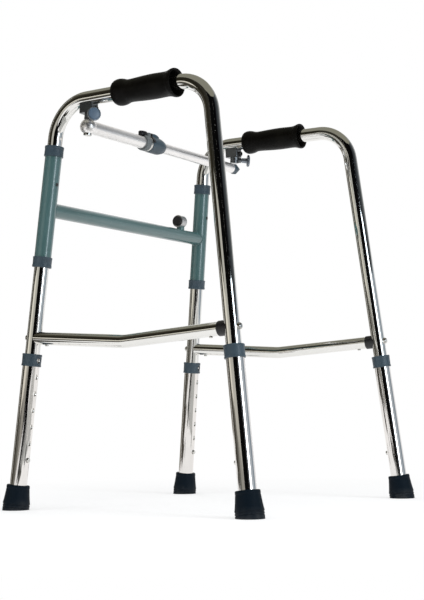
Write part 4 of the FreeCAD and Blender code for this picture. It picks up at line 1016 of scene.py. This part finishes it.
def add_world():
    world = bpy.data.worlds.new("studio")
    world.use_nodes = True
    scene.world = world
    nodes, links = world.node_tree.nodes, world.node_tree.links
    nodes.clear()
    white, soft = nodes.new("ShaderNodeBackground"), nodes.new("ShaderNodeBackground")
    white.inputs["Strength"].default_value = 1.0
    white.inputs["Color"].default_value = (1, 1, 1, 1)
    soft.inputs["Strength"].default_value = WORLD_LIGHT
    soft.inputs["Color"].default_value = (1, 1, 1, 1)
    mix = nodes.new("ShaderNodeMixShader")
    out = nodes.new("ShaderNodeOutputWorld")
    links.new(seen_directly(nodes, links), mix.inputs[0])
    links.new(soft.outputs[0], mix.inputs[1])
    links.new(white.outputs[0], mix.inputs[2])
    links.new(mix.outputs[0], out.inputs[0])


add_world()
floor = add_floor()
print("floor:", floor.name, "world:", scene.world.name)

# %% [markdown]
# ## Lamps
# Lamps are large, so shadows are soft. They stand round the object at a plain
# level, at which a colour renders about as it is written. Only the key lamp also
# shows in reflections, where its bluish panel draws a bright stripe along the
# tubes.

# %% Lamps
KEY_COLOUR, LAMP_COLOUR = (0.78, 0.90, 1.0), (0.97, 0.985, 1.0)
LAMP_AIM = (0, 0, 0.4)
# name, azimuth, distance, height, size, power, and whether it shows in gloss
LAMPS = (
    ("key", 256, 2.9, 0.70, (0.75, 1.10), 14, True),
    ("side", 262, 2.8, 1.9, (1.2, 1.4), 44, False),
    ("top", 212, 1.2, 2.7, (1.4, 1.4), 24, False),
    ("fill", 150, 2.7, 1.3, (1.2, 1.6), 16, False),
    ("rear", 55, 2.8, 2.0, (1.2, 1.2), 16, False),
)


def add_lamp(name, place, aim, size, power, colour):
    data = bpy.data.lights.new(name, "AREA")
    data.shape = "RECTANGLE"
    data.size, data.size_y = size
    data.energy = power
    data.color = colour
    lamp = bpy.data.objects.new(name, data)
    scene.collection.objects.link(lamp)
    lamp.location = place
    look = Vector(aim) - Vector(place)
    lamp.rotation_euler = look.to_track_quat("-Z", "Y").to_euler()
    return lamp


for name, azimuth, distance, height, size, power, shows in LAMPS:
    turn = math.radians(azimuth)
    place = (distance * math.cos(turn), distance * math.sin(turn), height)
    lamp = add_lamp(name, place, LAMP_AIM, size, power,
                    KEY_COLOUR if shows else LAMP_COLOUR)
    lamp.visible_glossy = shows
print("lamps:", len(LAMPS))

# %% [markdown]
# ## Cards
# Chrome only shows what is round it. Cards that only reflections can see stand in
# a ring about the object, each in bands from the floor up: dark, grey and pale
# bands draw the stripes that make plate look like plate. They overlap and a
# ceiling closes them, so that no white gap shows between. Strips on the floor do
# the same for the parts of a tube that look down.

# %% Cards
CARD_DISTANCE, CARD_TOP, STRIP_Z = 3.0, 3.7, 0.001
CEILING_SIZE, CEILING_COLOUR = 7.0, (0.25, 0.245, 0.200)
# azimuth, half angle, and bands of (top, colour) from the floor upwards
CARDS = (
    (80, 19, ((1.10, (0.16, 0.15, 0.12)), (3.70, (0.13, 0.125, 0.10)))),
    (117, 14, ((1.10, (0.055, 0.051, 0.038)), (3.70, (0.060, 0.055, 0.040)))),
    (144, 13, ((0.35, (0.13, 0.125, 0.11)), (0.85, (0.80, 0.77, 0.68)),
               (3.70, (0.020, 0.018, 0.012)))),
    (171, 14, ((0.35, (0.30, 0.29, 0.26)), (1.35, (0.50, 0.49, 0.44)),
               (3.70, (0.030, 0.028, 0.022)))),
    (209, 24, ((3.70, (0.003, 0.003, 0.003)),)),
    (240, 7, ((1.10, (0.10, 0.105, 0.115)), (3.70, (0.002, 0.002, 0.002)))),
    (256, 12, ((1.10, None), (3.70, (0.003, 0.003, 0.004)))),
    (281, 14, ((1.10, (0.48, 0.53, 0.58)), (3.70, (0.040, 0.045, 0.050)))),
    (309, 14, ((1.10, (0.26, 0.31, 0.36)), (3.70, (0.085, 0.095, 0.10)))),
    (341, 18, ((1.10, (0.85, 0.86, 0.88)), (3.70, (0.36, 0.37, 0.38)))),
)
# azimuth, near end, far end, width and colour, from the left front foot
FLOOR_STRIPS = (
    (219, 0.62, 3.0, 1.00, (0.004, 0.004, 0.004)),
    (219, 0.38, 0.62, 0.32, (0.10, 0.10, 0.09)),
    (262, 0.50, 3.0, 1.40, (0.50, 0.51, 0.50)),
    (122, 1.00, 3.0, 1.90, (0.060, 0.055, 0.045)),
    (116, 0.30, 1.00, 0.42, (0.060, 0.055, 0.045)),
)


def glossy_only(thing):
    """Hide a card from everything but reflections."""
    thing.visible_camera = False
    thing.visible_diffuse = False
    thing.visible_shadow = False
    thing.visible_transmission = False
    thing.visible_volume_scatter = False


def flat_colour(name, colour):
    material = bpy.data.materials.new(name)
    material.use_nodes = True
    nodes = material.node_tree.nodes
    nodes.clear()
    glow = nodes.new("ShaderNodeEmission")
    glow.inputs["Color"].default_value = (*colour, 1)
    out = nodes.new("ShaderNodeOutputMaterial")
    material.node_tree.links.new(glow.outputs[0], out.inputs[0])
    return material


def add_card(name, azimuth, distance, width, height, low, colour):
    """An upright card that faces the middle of the stage."""
    clear_selection()
    angle = math.radians(azimuth)
    spot = Vector((math.cos(angle), math.sin(angle), 0)) * distance
    bpy.ops.mesh.primitive_plane_add(size=1)
    card = bpy.context.object
    card.name = name
    card.scale = (width, height, 1)
    card.rotation_euler = (math.pi / 2, 0, angle + math.pi / 2)
    card.location = (spot.x, spot.y, low + height / 2)
    dress(card, flat_colour(name + "_colour", colour))
    glossy_only(card)
    return card


def add_ceiling(height, size, colour):
    clear_selection()
    bpy.ops.mesh.primitive_plane_add(size=size, location=(0, 0, height))
    ceiling = bpy.context.object
    ceiling.name = "ceiling_card"
    dress(ceiling, flat_colour("ceiling_colour", colour))
    glossy_only(ceiling)
    return ceiling


def add_floor_strip(azimuth, near, far, width, colour):
    """A strip that lies on the floor and runs away from the left front leg."""
    clear_selection()
    angle = math.radians(azimuth)
    start = LEGS["left_front_leg"].translation
    middle = (near + far) / 2
    bpy.ops.mesh.primitive_plane_add(size=1)
    strip = bpy.context.object
    strip.name = f"floor_strip_{azimuth}_{round(near * 100)}"
    strip.scale = (far - near, width, 1)
    strip.rotation_euler = (0, 0, angle)
    strip.location = (start.x + middle * math.cos(angle),
                      start.y + middle * math.sin(angle), STRIP_Z)
    dress(strip, flat_colour(strip.name + "_colour", colour))
    glossy_only(strip)
    return strip


for azimuth, half, bands in CARDS:
    width = 2 * CARD_DISTANCE * math.tan(math.radians(half))
    low = 0.0
    for top, colour in bands:
        if colour:
            add_card(f"card_{azimuth}_{round(top * 100)}", azimuth, CARD_DISTANCE,
                     width, top - low, low, colour)
        low = top
add_ceiling(CARD_TOP, CEILING_SIZE, CEILING_COLOUR)
for azimuth, near, far, width, colour in FLOOR_STRIPS:
    add_floor_strip(azimuth, near, far, width, colour)
print("cards in", len(CARDS), "directions, floor strips:", len(FLOOR_STRIPS))

# %% [markdown]
# ## Finish
# The selection is cleared at the end.

# %% Finish
clear_selection()
